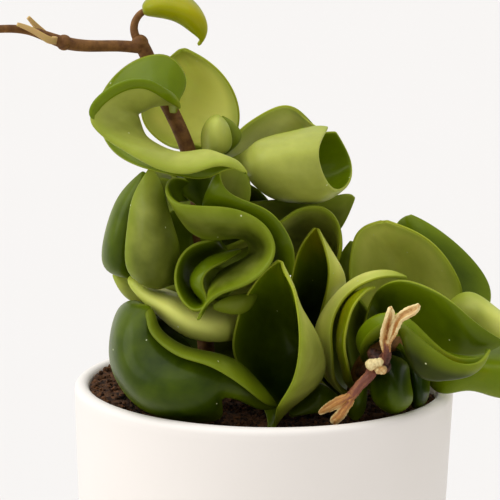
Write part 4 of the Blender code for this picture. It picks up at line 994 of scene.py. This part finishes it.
        "right_stem", 1, (0.5,), (0.4, 0.4, 0.8, 1.8, 2), (432, 337, 10), [
            [(448, 304, 16), (452, 316, 21), (450, 330, 18)],
            [(470, 292, 20), (476, 311, 27), (474, 332, 22)],
            [(494, 307, 22), (499, 322, 29), (496, 338, 24)],
            [(513, 322, 22), (515, 330, 26), (512, 338, 23)],
        ], (524, 333, 22),
    ),
    "rim_leaf": (
        "right_stem", -1, (1,), (0.9,), (416, 341, 15), [
            [(423, 353, 12), (420, 354, 13), (416, 354, 12)],
            [(424, 354, 11), (428, 368, 16), (430, 385, 14)],
            [(466, 347, 14), (472, 368, 28), (468, 390, 21)],
            [(502, 345, 14), (504, 372, 29), (500, 398, 21)],
            [(530, 354, 15), (532, 374, 25), (528, 392, 19)],
        ], (548, 377, 16),
    ),
    "rolled_leaf": (
        "left_stem", 1, (0.8,), (0.5, 0.85, 0.85), (196, 178, 15), [
            [(234, 158, 10), (234, 161, 12), (234, 164, 13), (235, 167, 13), (235, 170, 13),
             (236, 173, 12), (236, 176, 10)],
            [(249, 149, 13), (246, 156, 20), (246, 168, 22), (251, 178, 17), (257, 177, 7),
             (257, 167, 3), (254, 154, 6)],
            [(263, 139, 15), (256, 150, 28), (256, 171, 31), (267, 193, 20), (279, 190, 4),
             (280, 165, -4), (272, 146, 3)],
            [(294, 131, 15), (284, 146, 31), (284, 169, 34), (294, 199, 21), (307, 193, 2),
             (309, 165, -5), (301, 137, 2)],
            [(318, 126, 15), (309, 143, 32), (309, 167, 34), (320, 197, 22), (334, 191, 2),
             (336, 162, -5), (325, 131.5, 4)],
            [(329, 127, 15), (321, 143, 31), (320, 163, 34), (333, 188, 24), (349, 183, 5),
             (351, 160, -4), (336, 131, 4)],
        ], None,
    ),
    "rolled_flap_leaf": (
        "left_stem", 1, (1.1,), (0.6, 0.9, 1.2, 1.6, 2), (192, 158, 15), [
            [(222, 151, 13), (232, 153, 7), (240, 158, 0)],
            [(238, 132, 10), (250, 142, 0), (262, 155, -8)],
            [(262, 114, 8), (276, 132, -4), (285, 150, -12)],
            [(290, 106, 4), (302, 122, -5), (310, 142, -12)],
            [(307, 119, 0), (316, 130, -4), (322, 140, -10)],
        ], (325, 135, -8),
    ),
    "under_roll_leaf": (
        "left_stem", 1, (0.6,), (0.9, 1, 0.3, 0.3, 0.45), (200, 208, 14), [
            [(248, 203, 12), (250, 208, 8), (249, 215, 4)],
            [(280, 200, 5), (284, 212, 0), (284, 227, -3)],
            [(318, 199, 0), (322, 215, -4), (318, 238, -8)],
            [(343, 194, -4), (343, 212, -7), (338, 232, -10)],
        ], (354, 196, -6),
    ),
    "hood_leaf": (
        "left_stem", 1, (0.85,), (0.2, 0.8, 0.3, 0.8, 2.2), (202, 258, 12), [
            [(280, 222, 24), (266, 240, 10), (260, 262, 6)],
            [(296, 210, 24), (290, 236, 2), (285, 268, -4)],
            [(321, 206, 20), (315, 235, -3), (310, 270, -8)],
            [(338, 222, 16), (334, 248, -5), (328, 270, -9)],
            [(341, 246, 11), (338, 257, 1), (333, 268, -6)],
        ], (337, 263, 3),
    ),
    "right_inner_leaf": (
        "right_stem", 1, (0.1,), (0.1,), (364, 364, 16), [
            [(352, 370, 11), (359, 373, 8), (366, 372, 9)],
            [(346, 345, 11), (357, 347, 4), (370, 346, 7)],
            [(347, 320, 12), (358, 318, 5), (370, 316, 9)],
        ], (358, 300, 12),
    ),
    "low_dark_leaf": (
        "right_stem", 1, (0, -0.3, 0, 0.4, 0.5), (0.5,), (372, 360, 22), [
            [(378, 362, 26), (391, 358, 30), (404, 362, 26)],
            [(371, 381, 31), (391, 378, 42), (410, 381, 32)],
            [(374, 401, 34), (393, 402, 43), (412, 401, 35)],
        ], (394, 413, 37),
    ),
    "low_right_leaf": (
        "right_stem", 1, (0, 0, 0, -0.1, 0.8), (0.4,), (398, 345, 20), [
            [(404, 354, 22), (407, 353, 23), (410, 353, 22)],
            [(406, 366, 21), (415, 366, 26), (426, 368, 19)],
            [(407, 385, 23), (418, 384, 30), (429, 384, 21)],
            [(410, 400, 25), (419, 400, 30), (427, 398, 22)],
        ], (417, 409, 25),
    ),
    "low_left_leaf": (
        "right_stem", 1, (0.2,), (0.5,), (356, 397, 16), [
            [(357, 389, 30), (361, 386, 33), (366, 386, 30)],
            [(350, 399, 32), (358, 399, 38), (366, 399, 33)],
            [(347, 410, 33), (355, 411, 37), (364, 410, 33)],
        ], (356, 420, 35),
    ),
    "low_centre_leaf": (
        "right_stem", 1, (0.2,), (0.5,), (352, 400, 11), [
            [(339, 398, 16), (339, 403, 17), (339, 408, 15)],
            [(318, 383, 18), (322, 397, 24), (324, 412, 24)],
            [(299, 394, 20), (302, 406, 25), (305, 415, 26)],
        ], (290, 416, 27),
    ),
    "young_top_leaf": (
        "shoot", 1, (1.6, 1.6, 1.6, 1.75, 2), (1.6,), (148, 10, 15), [
            [(146, 14.5, 17), (145, 9, 19), (144, 5, 16)],
            [(162, 17.5, 18), (160, 5.5, 22), (158, -8, 12)],
            [(178, 22.5, 18), (178, 7.5, 22), (176, -9, 11)],
            [(190, 31, 18), (193, 13.5, 22), (190, -1, 12)],
            [(199, 39, 18), (205, 26, 19), (200, 13, 14)],
        ], (199, 45, 16),
    ),
    "runner_leaf_a": (
        "runner", 1, (1,), (1,), (54, 38, 22), [
            [(48, 36, 28), (48, 39, 28), (47, 43, 28)], [(34, 28, 30), (34, 31, 30), (33, 34, 30)],
        ], (17, 24, 32),
    ),
    "runner_leaf_b": (
        "runner", 1, (1,), (1,), (60, 40, 20), [
            [(48, 32, 17), (48, 36, 17), (47, 40, 17)], [(38, 24, 19), (37, 27, 19), (36, 30, 19)],
        ], (28, 17, 21),
    ),
    "inner_left_leaf": (
        "left_stem", -1, (0.1,), (0.1,), (198, 210, 14), [
            [(185, 190, 8), (178, 200, 4), (176, 214, 6)],
            [(165, 178, 6), (150, 205, -4), (150, 235, 4)],
            [(140, 185, 2), (128, 215, -6), (130, 245, 2)],
        ], (116, 222, 0),
    ),
    "inner_right_leaf": (
        "left_stem", 1, (0.1,), (0.2,), (198, 216, 14), [
            [(215, 200, 6), (220, 212, 2), (218, 226, 6)],
            [(238, 182, 4), (248, 212, -6), (240, 244, 3)],
            [(264, 196, 0), (270, 222, -8), (260, 250, 0)],
        ], (278, 230, -4),
    ),
    "inner_low_leaf": (
        "left_stem", 1, (0.1,), (0.6,), (202, 300, 11), [
            [(216, 282, 4), (222, 294, 0), (218, 308, 4)],
            [(242, 265, 2), (252, 292, -8), (244, 322, 2)],
            [(268, 270, -2), (276, 294, -10), (266, 320, -2)],
        ], (284, 300, -6),
    ),
    "inner_base_leaf": (
        "left_stem", 1, (0,), (0,), (206, 352, 8), [
            [(218, 340, 4), (222, 351, 0), (218, 362, 4)],
            [(238, 330, 0), (246, 350, -6), (240, 369, 0)],
            [(262, 340, -4), (268, 355, -8), (262, 368, -4)],
        ], (280, 358, -6),
    ),
    "inner_lower_left_leaf": (
        "left_stem", -1, (0.1,), (0.1,), (204, 330, 10), [
            [(190, 318, 4), (184, 330, 0), (188, 344, 4)],
            [(165, 300, 2), (150, 325, -8), (160, 352, 2)],
            [(146, 312, -2), (131, 328, -10), (145, 344, -2)],
        ], (118, 325, -6),
    ),
    "side_leaf": (
        "left_stem", 1, (0.65,), (0.1,), (200, 236, 12), [
            [(189, 222, 14), (189, 236, 13), (190, 252, 14)],
            [(176, 210, 21), (173, 231, 18), (176, 256, 18)],
            [(166, 216, 23), (163, 232, 21), (166, 247, 22)],
        ], (159, 233, 22),
    ),
    "heart_leaf": (
        "left_stem", 1, (0.1,), (0,), (200, 250, 12), [
            [(208, 231, 16), (209, 245, 15), (208, 262, 16)],
            [(224, 222, 17), (227, 243, 13), (224, 270, 17)],
            [(240, 224, 15), (244, 244, 12), (240, 266, 15)],
        ], (258, 246, 14),
    ),
    "throat_leaf": (
        "left_stem", -1, (0.15,), (0.1,), (203, 212, 12), [
            [(196, 205, 20), (203, 204, 19), (210, 202, 20)],
            [(184, 196, 24), (200, 192, 20), (214, 190, 22)],
            [(180, 186, 25), (197, 180, 21), (212, 178, 22)],
        ], (194, 168, 22),
    ),
    "shade_leaf": (
        "left_stem", 1, (0.3,), (0.1,), (222, 158, 10), [
            [(222, 148, 12), (229, 146, 14), (236, 145, 12)],
            [(224, 134, 12), (233, 133, 14), (241, 135, 12)],
            [(222, 124, 12), (229, 123, 13), (236, 127, 12)],
        ], (221, 117, 12),
    ),
    "hollow_leaf": (
        "right_stem", 1, (0,), (0,), (405, 342, 14), [
            [(371, 335, 13), (392, 339, 14), (412, 346, 13)],
            [(368, 352, 12), (393, 354, 14), (416, 358, 12)],
            [(370, 372, 12), (394, 374, 14), (416, 376, 12)],
        ], (392, 394, 14),
    ),
    "core_leaf": (
        "left_stem", 1, (0,), (0,), (205, 286, 12), [
            [(209, 270, 15), (210, 282, 15), (209, 298, 15)],
            [(222, 268, 15), (223, 282, 14), (222, 300, 15)],
        ], (236, 284, 14),
    ),
    "far_dark_leaf": (
        None, 1, (0.15,), (0.1,), (354, 325, -4), [
            [(341, 300, -6), (348, 300, -5), (356, 300, -6)],
            [(336, 275, -6), (346, 275, -4), (356, 275, -6)],
            [(340, 256, -6), (349, 254, -5), (357, 253, -6)],
        ], (352, 241, -6),
    ),
    "lobe_leaf": (
        None, -1, (0.5,), (0.2,), (256, 286, 30), [
            [(245, 294, 38), (247, 302, 40), (246, 311, 38)],
            [(230, 296, 41), (231, 305, 42), (232, 314, 40)],
        ], (213, 307, 41),
    ),
    "gap_leaf": (
        "left_stem", 1, (0,), (0,), (206, 345, 8), [
            [(200, 335, 8), (200, 345, 8), (200, 355, 8)],
            [(185, 326, 8), (185, 342, 6), (185, 356, 8)],
        ], (166, 342, 8),
    ),
}

# %% Build the leaves
# a petiole that is grown in starts on its stem's centre line, and the leaf stands for that stem
GROWN_IN = {
    "inner_left_leaf", "inner_right_leaf", "inner_low_leaf", "inner_base_leaf", "inner_lower_left_leaf",
}
# eight fillers are dark leaves in the hollows, and their low tones are partly painted shade
FILLERS = {
    "side_leaf", "heart_leaf", "throat_leaf", "shade_leaf", "hollow_leaf", "core_leaf",
    "far_dark_leaf", "lobe_leaf", "gap_leaf",
}
SCALES = {"runner_leaf_a", "runner_leaf_b"}
STEPS_A_ROW = 5
FEWEST_STEPS, MOST_STEPS = 24, 56
STEPS_ACROSS = 14
for name, (stem, side, upper, under, base, rows, tip) in LEAVES.items():
    along = max(FEWEST_STEPS, min(MOST_STEPS, STEPS_A_ROW * len(rows)))
    across = 4 * (len(rows[0]) - 1) if len(rows[0]) > 4 else STEPS_ACROSS
    make = sunk_grid if name in GROWN_IN else seated_grid
    grid = make(stem, base, rows, tip, along, across)
    looks = (dry_scale, dry_scale, dry_scale) if name in SCALES else LEAF_LOOKS
    leaf = fleshy_blade(name + "_blade", grid, side, upper, under, looks)
    if name not in FILLERS:
        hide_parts("left_rope_stem" if name in GROWN_IN else name)
print("leaves:", len(LEAVES))

# %% [markdown]
# ## Leaves behind
# The far side is not seen from the front, but it is as leafy. Those leaves are described the way a
# gardener would: how high one leaves the stem, where it heads, and how it rises, curls and folds.
# They are grown into their stems, so they stand for the stems' solids.

# %% Rear leaves
# angles in degrees, sizes in millimetres
REAR_BENDS = ("height", "heading", "length", "half", "rise", "curl", "fold", "turn", "twist")
REAR_LEAVES = [
    ("left_stem", (125, 75, 40, 14, 18, -105, 40, 1, 3)),
    ("left_stem", (132, 122, 42, 14, 36, -105, 40, -11, 39)),
    ("left_stem", (145, 64, 42, 14, 24, -113, 40, 15, -13)),
    ("left_stem", (148, 87, 40, 13, 29, -90, 40, -21, 47)),
    ("left_stem", (171, 95, 34, 11, 32, -82, 45, 48, -8)),
    ("right_stem", (108, 55, 40, 11, 30, -60, 40, 30, -20)),
]
# how wide the leaf is, as a share of its half width, at shares of its length
REAR_OUTLINE = {0.15: 0.42, 0.35: 0.92, 0.55: 1.0, 0.75: 0.82, 0.9: 0.5}
REAR_STEPS = 40
REAR_STEPS_ALONG = 32
REAR_TONES = (0.4,), (0.5,)


def rear_grid(stem, bends, along, across):
    """The grid of a leaf that leaves its stem at a height and curls over as it goes."""
    shape = dict(zip(REAR_BENDS, bends))
    centres, _ = stem_line(*STEMS[stem], STEM_STEPS)
    start = centres[int(np.argmin(np.abs(centres[:, 2] - shape["height"])))]
    point = start.copy()
    rows = []
    for k in range(1, REAR_STEPS + 1):
        share = k / REAR_STEPS
        pitch = math.radians(shape["rise"] + shape["curl"] * share)
        heading = math.radians(shape["heading"] + shape["turn"] * share)
        twist = math.radians(shape["twist"]) * share
        flat = np.array([math.cos(heading), math.sin(heading), 0.0])
        ahead = flat * math.cos(pitch) + np.array([0.0, 0.0, math.sin(pitch)])
        point = point + ahead * shape["length"] / REAR_STEPS
        if share not in REAR_OUTLINE:
            continue
        side = np.array([-math.sin(heading), math.cos(heading), 0.0])
        over = np.cross(ahead, side)
        level = side
        side = level * math.cos(twist) + over * math.sin(twist)
        over = over * math.cos(twist) - level * math.sin(twist)
        fold = math.radians(shape["fold"]) * min(1.0, 0.4 + 1.2 * share)
        width = shape["half"] * REAR_OUTLINE[share]
        lift = over * width * math.sin(fold)
        reach = side * width * math.cos(fold)
        rows.append(np.array([point + reach + lift, point, point - reach + lift]))
    return blade_grid(start, rows, point, along, across, HIDDEN_TIP_HALF_WIDTH)


for i, (stem, bends) in enumerate(REAR_LEAVES):
    grid = rear_grid(stem, bends, REAR_STEPS_ALONG, STEPS_ACROSS)
    leaf = fleshy_blade(f"rear_leaf_{i}_blade", grid, -1, *REAR_TONES, LEAF_LOOKS)
    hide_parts("left_rope_stem" if stem == "left_stem" else "right_rope_stem")
print("rear leaves:", len(REAR_LEAVES))

# %% [markdown]
# ## Dry flower stalk
# Wax plants keep their flower stalks, and this one has dried: a brown twig with a dark, bristly
# knob, pale bud scars, and papery husks that have split into two horns at either end. Tubes,
# swellings and thin folded sheets are joined and remeshed into one skin, so they run into each
# other as dried wood does. Each point of that skin then takes its tone from the part it lies on.

# %% Stalk material
FIBRE_SIZE = 0.9
FIBRE_STRETCH = 8
STREAK_DEPTH = 0.16
# dried husk: dark purple-brown wood that pales to straw where it is thin, with fibres along it
husk, tree, shader = new_material("dry_husk")
fibre = add_node(
    tree, "ShaderNodeTexNoise", {"Scale": 1 / FIBRE_SIZE, "Detail": 3.0},
    {"Vector": read_mark(tree, "beside", "Vector"), "W": read_mark(tree, "along")},
    noise_dimensions="4D",
)
streak = add_node(
    tree, "ShaderNodeMapRange",
    {"From Min": 0.3, "From Max": 0.7, "To Min": -STREAK_DEPTH, "To Max": STREAK_DEPTH},
    {"Value": fibre.outputs["Fac"]},
)
aged = add_node(
    tree, "ShaderNodeMath", links={0: read_mark(tree, "paper"), 1: streak.outputs[0]}, operation="ADD",
    use_clamp=True,
)
dry = colour_ramp(
    tree, aged.outputs[0], ((0.0, "#33190d"), (0.42, "#84503f"), (0.66, "#bd8848"), (1.0, "#eedca6"))
)
creased = add_node(
    tree, "ShaderNodeBump", {"Strength": 0.7, "Distance": 0.0005}, {"Height": fibre.outputs["Fac"]}
)
tree.links.new(dry, shader.inputs["Base Color"])
tree.links.new(creased.outputs[0], shader.inputs["Normal"])
shader.inputs["Roughness"].default_value = 0.6

# %% Stalk parts
# each twig: its points, its radii and its tones, from 0 for dark wood to 1 for pale paper
TWIGS = [
    ([(360, 372, 23), (366, 370, 33), (374, 364, 43)], [1.7, 1.9, 2.4], [0.1, 0.1, 0.05]),
    ([(374, 364, 44), (369, 376, 48), (360, 385, 49), (351, 396, 49), (346, 400, 49)],
     [2.2, 1.75, 1.65, 1.65, 1.3], [0.1, 0.3, 0.36, 0.4, 0.6]),
    ([(380, 364, 46), (386, 356, 49), (386, 346, 53), (386, 338, 55)], [2.2, 1.7, 1.3, 1.3],
     [0.05, 0.2, 0.32, 0.6]),
]
# each husk: the point it starts at, the rows across it and its tip
HUSKS = [
    ((386, 350, 52), [
        [(381, 344, 55.5), (384, 345, 53.5), (387, 344, 54.5)],
        [(381.5, 334, 58.5), (386, 334, 55.5), (391, 333, 57)],
        [(384.5, 322, 60.5), (388, 321, 57.5), (393, 321, 58.5)],
        [(387.5, 313, 61.5), (390, 313, 59), (394, 315, 59.5)],
    ], (390.5, 307.5, 61)),
    ((387, 350, 52), [
        [(386, 344, 54.5), (388, 345, 53.5), (390, 344, 55)],
        [(388, 333, 57), (393, 333, 57), (396.5, 333, 58.5)],
        [(392, 322, 58.5), (397, 322, 58), (401.5, 322, 60)],
        [(398, 314, 59.5), (402, 316, 59), (407, 318, 61)],
        [(407, 308, 60.5), (411, 311, 60), (415, 314, 61.5)],
    ], (419, 305, 62)),
    ((350, 396, 49), [
        [(347, 394, 48.5), (348.5, 397, 49.5), (350, 401, 48.5)],
        [(338, 397.5, 48.5), (340, 401, 50), (342, 406, 48.5)],
        [(329, 403, 48), (330.5, 406, 49.5), (332, 410, 48)],
    ], (319, 413, 47.5)),
    ((350, 398, 49), [
        [(347, 400, 48.5), (350, 402, 49.5), (353, 402, 48.5)],
        [(342, 407, 48.5), (345, 409, 49.5), (348, 410, 48.5)],
        [(336, 413, 48), (340, 416, 49.5), (344, 417, 48)],
        [(331.5, 419, 48), (335, 420.5, 49), (339, 421.5, 48)],
    ], (334, 423.5, 47.5)),
]
# each swelling or bud scar: its place, its radius and its tone
SCARS = [
    ((378, 361, 45.5), 3.2, 0.0), ((384, 366, 45.5), 2.4, 0.05), ((373, 354, 45), 1.9, 0.05),
    ((371.3, 364.5, 49), 1.9, 1.0), ((375.8, 362.6, 49.6), 1.4, 1.0), ((379.4, 361.8, 49.5), 1.3, 1.0),
    ((382.5, 370, 49), 1.5, 0.78), ((378.6, 370.5, 49.3), 1.1, 0.78),
]
TWIG_STEPS = 60
HUSK_ALONG, HUSK_ACROSS = 30, 8
HUSK_THICKNESS = 1.0
HUSK_TONE, PALER_TO_TIP, PALER_TO_RIM = 0.36, 0.38, 0.26
parts, places, reaches, papers, spine = [], [], [], [], []
for i, (points, radii, tones) in enumerate(TWIGS):
    centres, thick = stem_line(points, radii, TWIG_STEPS)
    parts.append(grow_tube(f"twig_{i}", centres, thick, husk))
    places.extend(centres)
    reaches.extend(thick)
    papers.extend(np.interp(np.linspace(0, 1, TWIG_STEPS), np.linspace(0, 1, len(tones)), tones))
    spine.append(centres)
for i, (base, rows, tip) in enumerate(HUSKS):
    grid = blade_grid(placed(base), placed_rows(rows), placed(tip), HUSK_ALONG, HUSK_ACROSS)
    sheet = bent_sheet(f"husk_{i}", grid)[0]
    shape_by(sheet, "thicken", "SOLIDIFY", thickness=HUSK_THICKNESS * MM, offset=0.0)
    sheet.data.materials.append(husk)
    parts.append(sheet)
    places.extend(grid.reshape(-1, 3))
    reaches.extend([HUSK_THICKNESS / 2] * grid[..., 0].size)
    to_tip = np.sqrt(np.linspace(0, 1, HUSK_ALONG + 1))[:, None]
    to_rim = np.linspace(-1, 1, HUSK_ACROSS + 1) ** 2
    papers.extend((HUSK_TONE + PALER_TO_TIP * to_tip + PALER_TO_RIM * to_rim).ravel())
    spine.append(grid[:, HUSK_ACROSS // 2])
for place, radius, tone in SCARS:
    bpy.ops.mesh.primitive_uv_sphere_add(segments=24, ring_count=16, radius=radius * MM)
    bpy.context.object.location = placed(place) * MM
    bpy.context.object.data.materials.append(husk)
    parts.append(bpy.context.object)
    places.append(placed(place))
    reaches.append(radius)
    papers.append(tone)
print("stalk parts:", len(parts))

# %% One dry skin
bpy.ops.object.select_all(action="DESELECT")
for part in parts:
    part.select_set(True)
bpy.context.view_layer.objects.active = parts[0]
bpy.ops.object.join()
bpy.ops.object.transform_apply(location=True, rotation=True, scale=True)
stalk = bpy.context.object
stalk.name = "dry_stalk_twig"
stalk.data.remesh_voxel_size = 0.26 * MM
bpy.ops.object.voxel_remesh()
shape_by(
    stalk, "rough", "DISPLACE", texture=lumps("bristle", "CLOUDS", 0.9 * MM), texture_coords="LOCAL",
    strength=0.5 * MM,
)
POINTS_AT_ONCE = 2000


def closest(points, places, reaches):
    """For each point the number of the place whose surface it lies closest to."""
    found = []
    for start in range(0, len(points), POINTS_AT_ONCE):
        few = points[start : start + POINTS_AT_ONCE, None]
        found.append((np.linalg.norm(few - places, axis=2) - reaches).argmin(axis=1))
    return np.concatenate(found)


# the fibres run along each part: a point's place beside the nearest centre line, and how far along
skin = np.array([v.co for v in stalk.data.vertices]) / MM
centre = np.concatenate(spine)
way = np.concatenate([np.gradient(line, axis=0) for line in spine])
way /= np.maximum(np.linalg.norm(way, axis=1, keepdims=True), 1e-6)
on = closest(skin, centre, 0.0)
offset = skin - centre[on]
offset -= way[on] * (offset * way[on]).sum(axis=1, keepdims=True)
steps = [np.linalg.norm(np.diff(line, axis=0, prepend=line[:1]), axis=1) for line in spine]
gone = np.concatenate([np.cumsum(step) for step in steps])
write_marks(stalk.data, {
    "beside": offset,
    "along": gone[on] / FIBRE_STRETCH,
    "paper": np.array(papers)[closest(skin, np.array(places), np.array(reaches))],
})
bpy.ops.object.shade_smooth()
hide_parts("dry_flower_stalk")
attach(stalk, "root")
print("stalk:", len(stalk.data.polygons), "faces")

# %% [markdown]
# ## Light, floor and camera
# The plant stands on pale paper under broad, soft light from the upper left and from above, and a
# pale surround fills the shadows. The lamps are suns with a wide disc, because they light the
# paper evenly. The camera looks slightly down from in front, and a view with a little more
# contrast gives the deep greens in the folds.

# %% Floor
# uncoated paper: pale, matt, with hardly visible fibres
paper, tree, shader = new_material("pale_paper")
where = add_node(tree, "ShaderNodeTexCoord").outputs["Object"]
fibres = add_node(tree, "ShaderNodeTexNoise", {"Scale": 1 / 0.4, "Detail": 2.0}, {"Vector": where})
sheet = mixed_colour(tree, fibres.outputs["Fac"], "#dddbd9", "#dedcda")
tree.links.new(sheet, shader.inputs["Base Color"])
shader.inputs["Roughness"].default_value = 0.9
shader.inputs["Specular IOR Level"].default_value = 0.1
bpy.ops.object.select_all(action="DESELECT")
bpy.ops.mesh.primitive_plane_add(size=24.0)
floor = bpy.context.object
floor.name = "floor"
floor.data.materials.append(paper)
print("floor:", floor.dimensions.x, "metres across")

# %% Lights
world = bpy.data.worlds.new("studio")
bpy.context.scene.world = world
world.use_nodes = True
surround = world.node_tree.nodes["Background"]
surround.inputs["Color"].default_value = linear("#fcfcfd")
surround.inputs["Strength"].default_value = 0.62


def soft_light(name, place, aim, spread, strength):
    """A broad white lamp, far away: a large window or softbox that shines from place towards aim."""
    bpy.ops.object.light_add(type="SUN", location=place)
    lamp = bpy.context.object
    lamp.name = name
    lamp.data.angle = math.radians(spread)
    lamp.data.energy = strength
    direction = np.array(aim) - np.array(place)
    lamp.rotation_euler = Vector(direction).to_track_quat("-Z", "Y").to_euler()
    print(name, "spread", spread, "degrees, strength", strength)


soft_light("window_left", (-1.6, -0.4, 1.25), (0, 0, 0.13), spread=50, strength=0.96)
soft_light("softbox_above", (-0.3, 0.1, 2.1), (0, 0, 0.15), spread=70, strength=1.0)

# %% Camera
SENSOR_WIDTH = 36.0
VIEW_WIDTH = 2 * VIEW_CENTRE
eye_centre = np.array([VIEW_ACROSS, 0.0, POT_HEIGHT]) + VIEW_UP * UP_VIEW
eye = (eye_centre + VIEW_DISTANCE * TOWARD_VIEWER) * MM
bpy.ops.object.camera_add(location=eye)
camera = bpy.context.object
camera.data.sensor_width = SENSOR_WIDTH
camera.data.lens = SENSOR_WIDTH * VIEW_SCALE * VIEW_DISTANCE / VIEW_WIDTH
roll = Matrix.Rotation(VIEW_ROLL, 4, "Z")
facing = Vector(-TOWARD_VIEWER).to_track_quat("-Z", "Y").to_matrix().to_4x4()
camera.rotation_euler = (facing @ roll).to_euler()
bpy.context.scene.camera = camera
bpy.context.scene.view_settings.view_transform = "Standard"
bpy.context.scene.view_settings.look = "Medium High Contrast"
print("camera at", np.round(eye, 3).tolist(), "lens", round(camera.data.lens, 1))
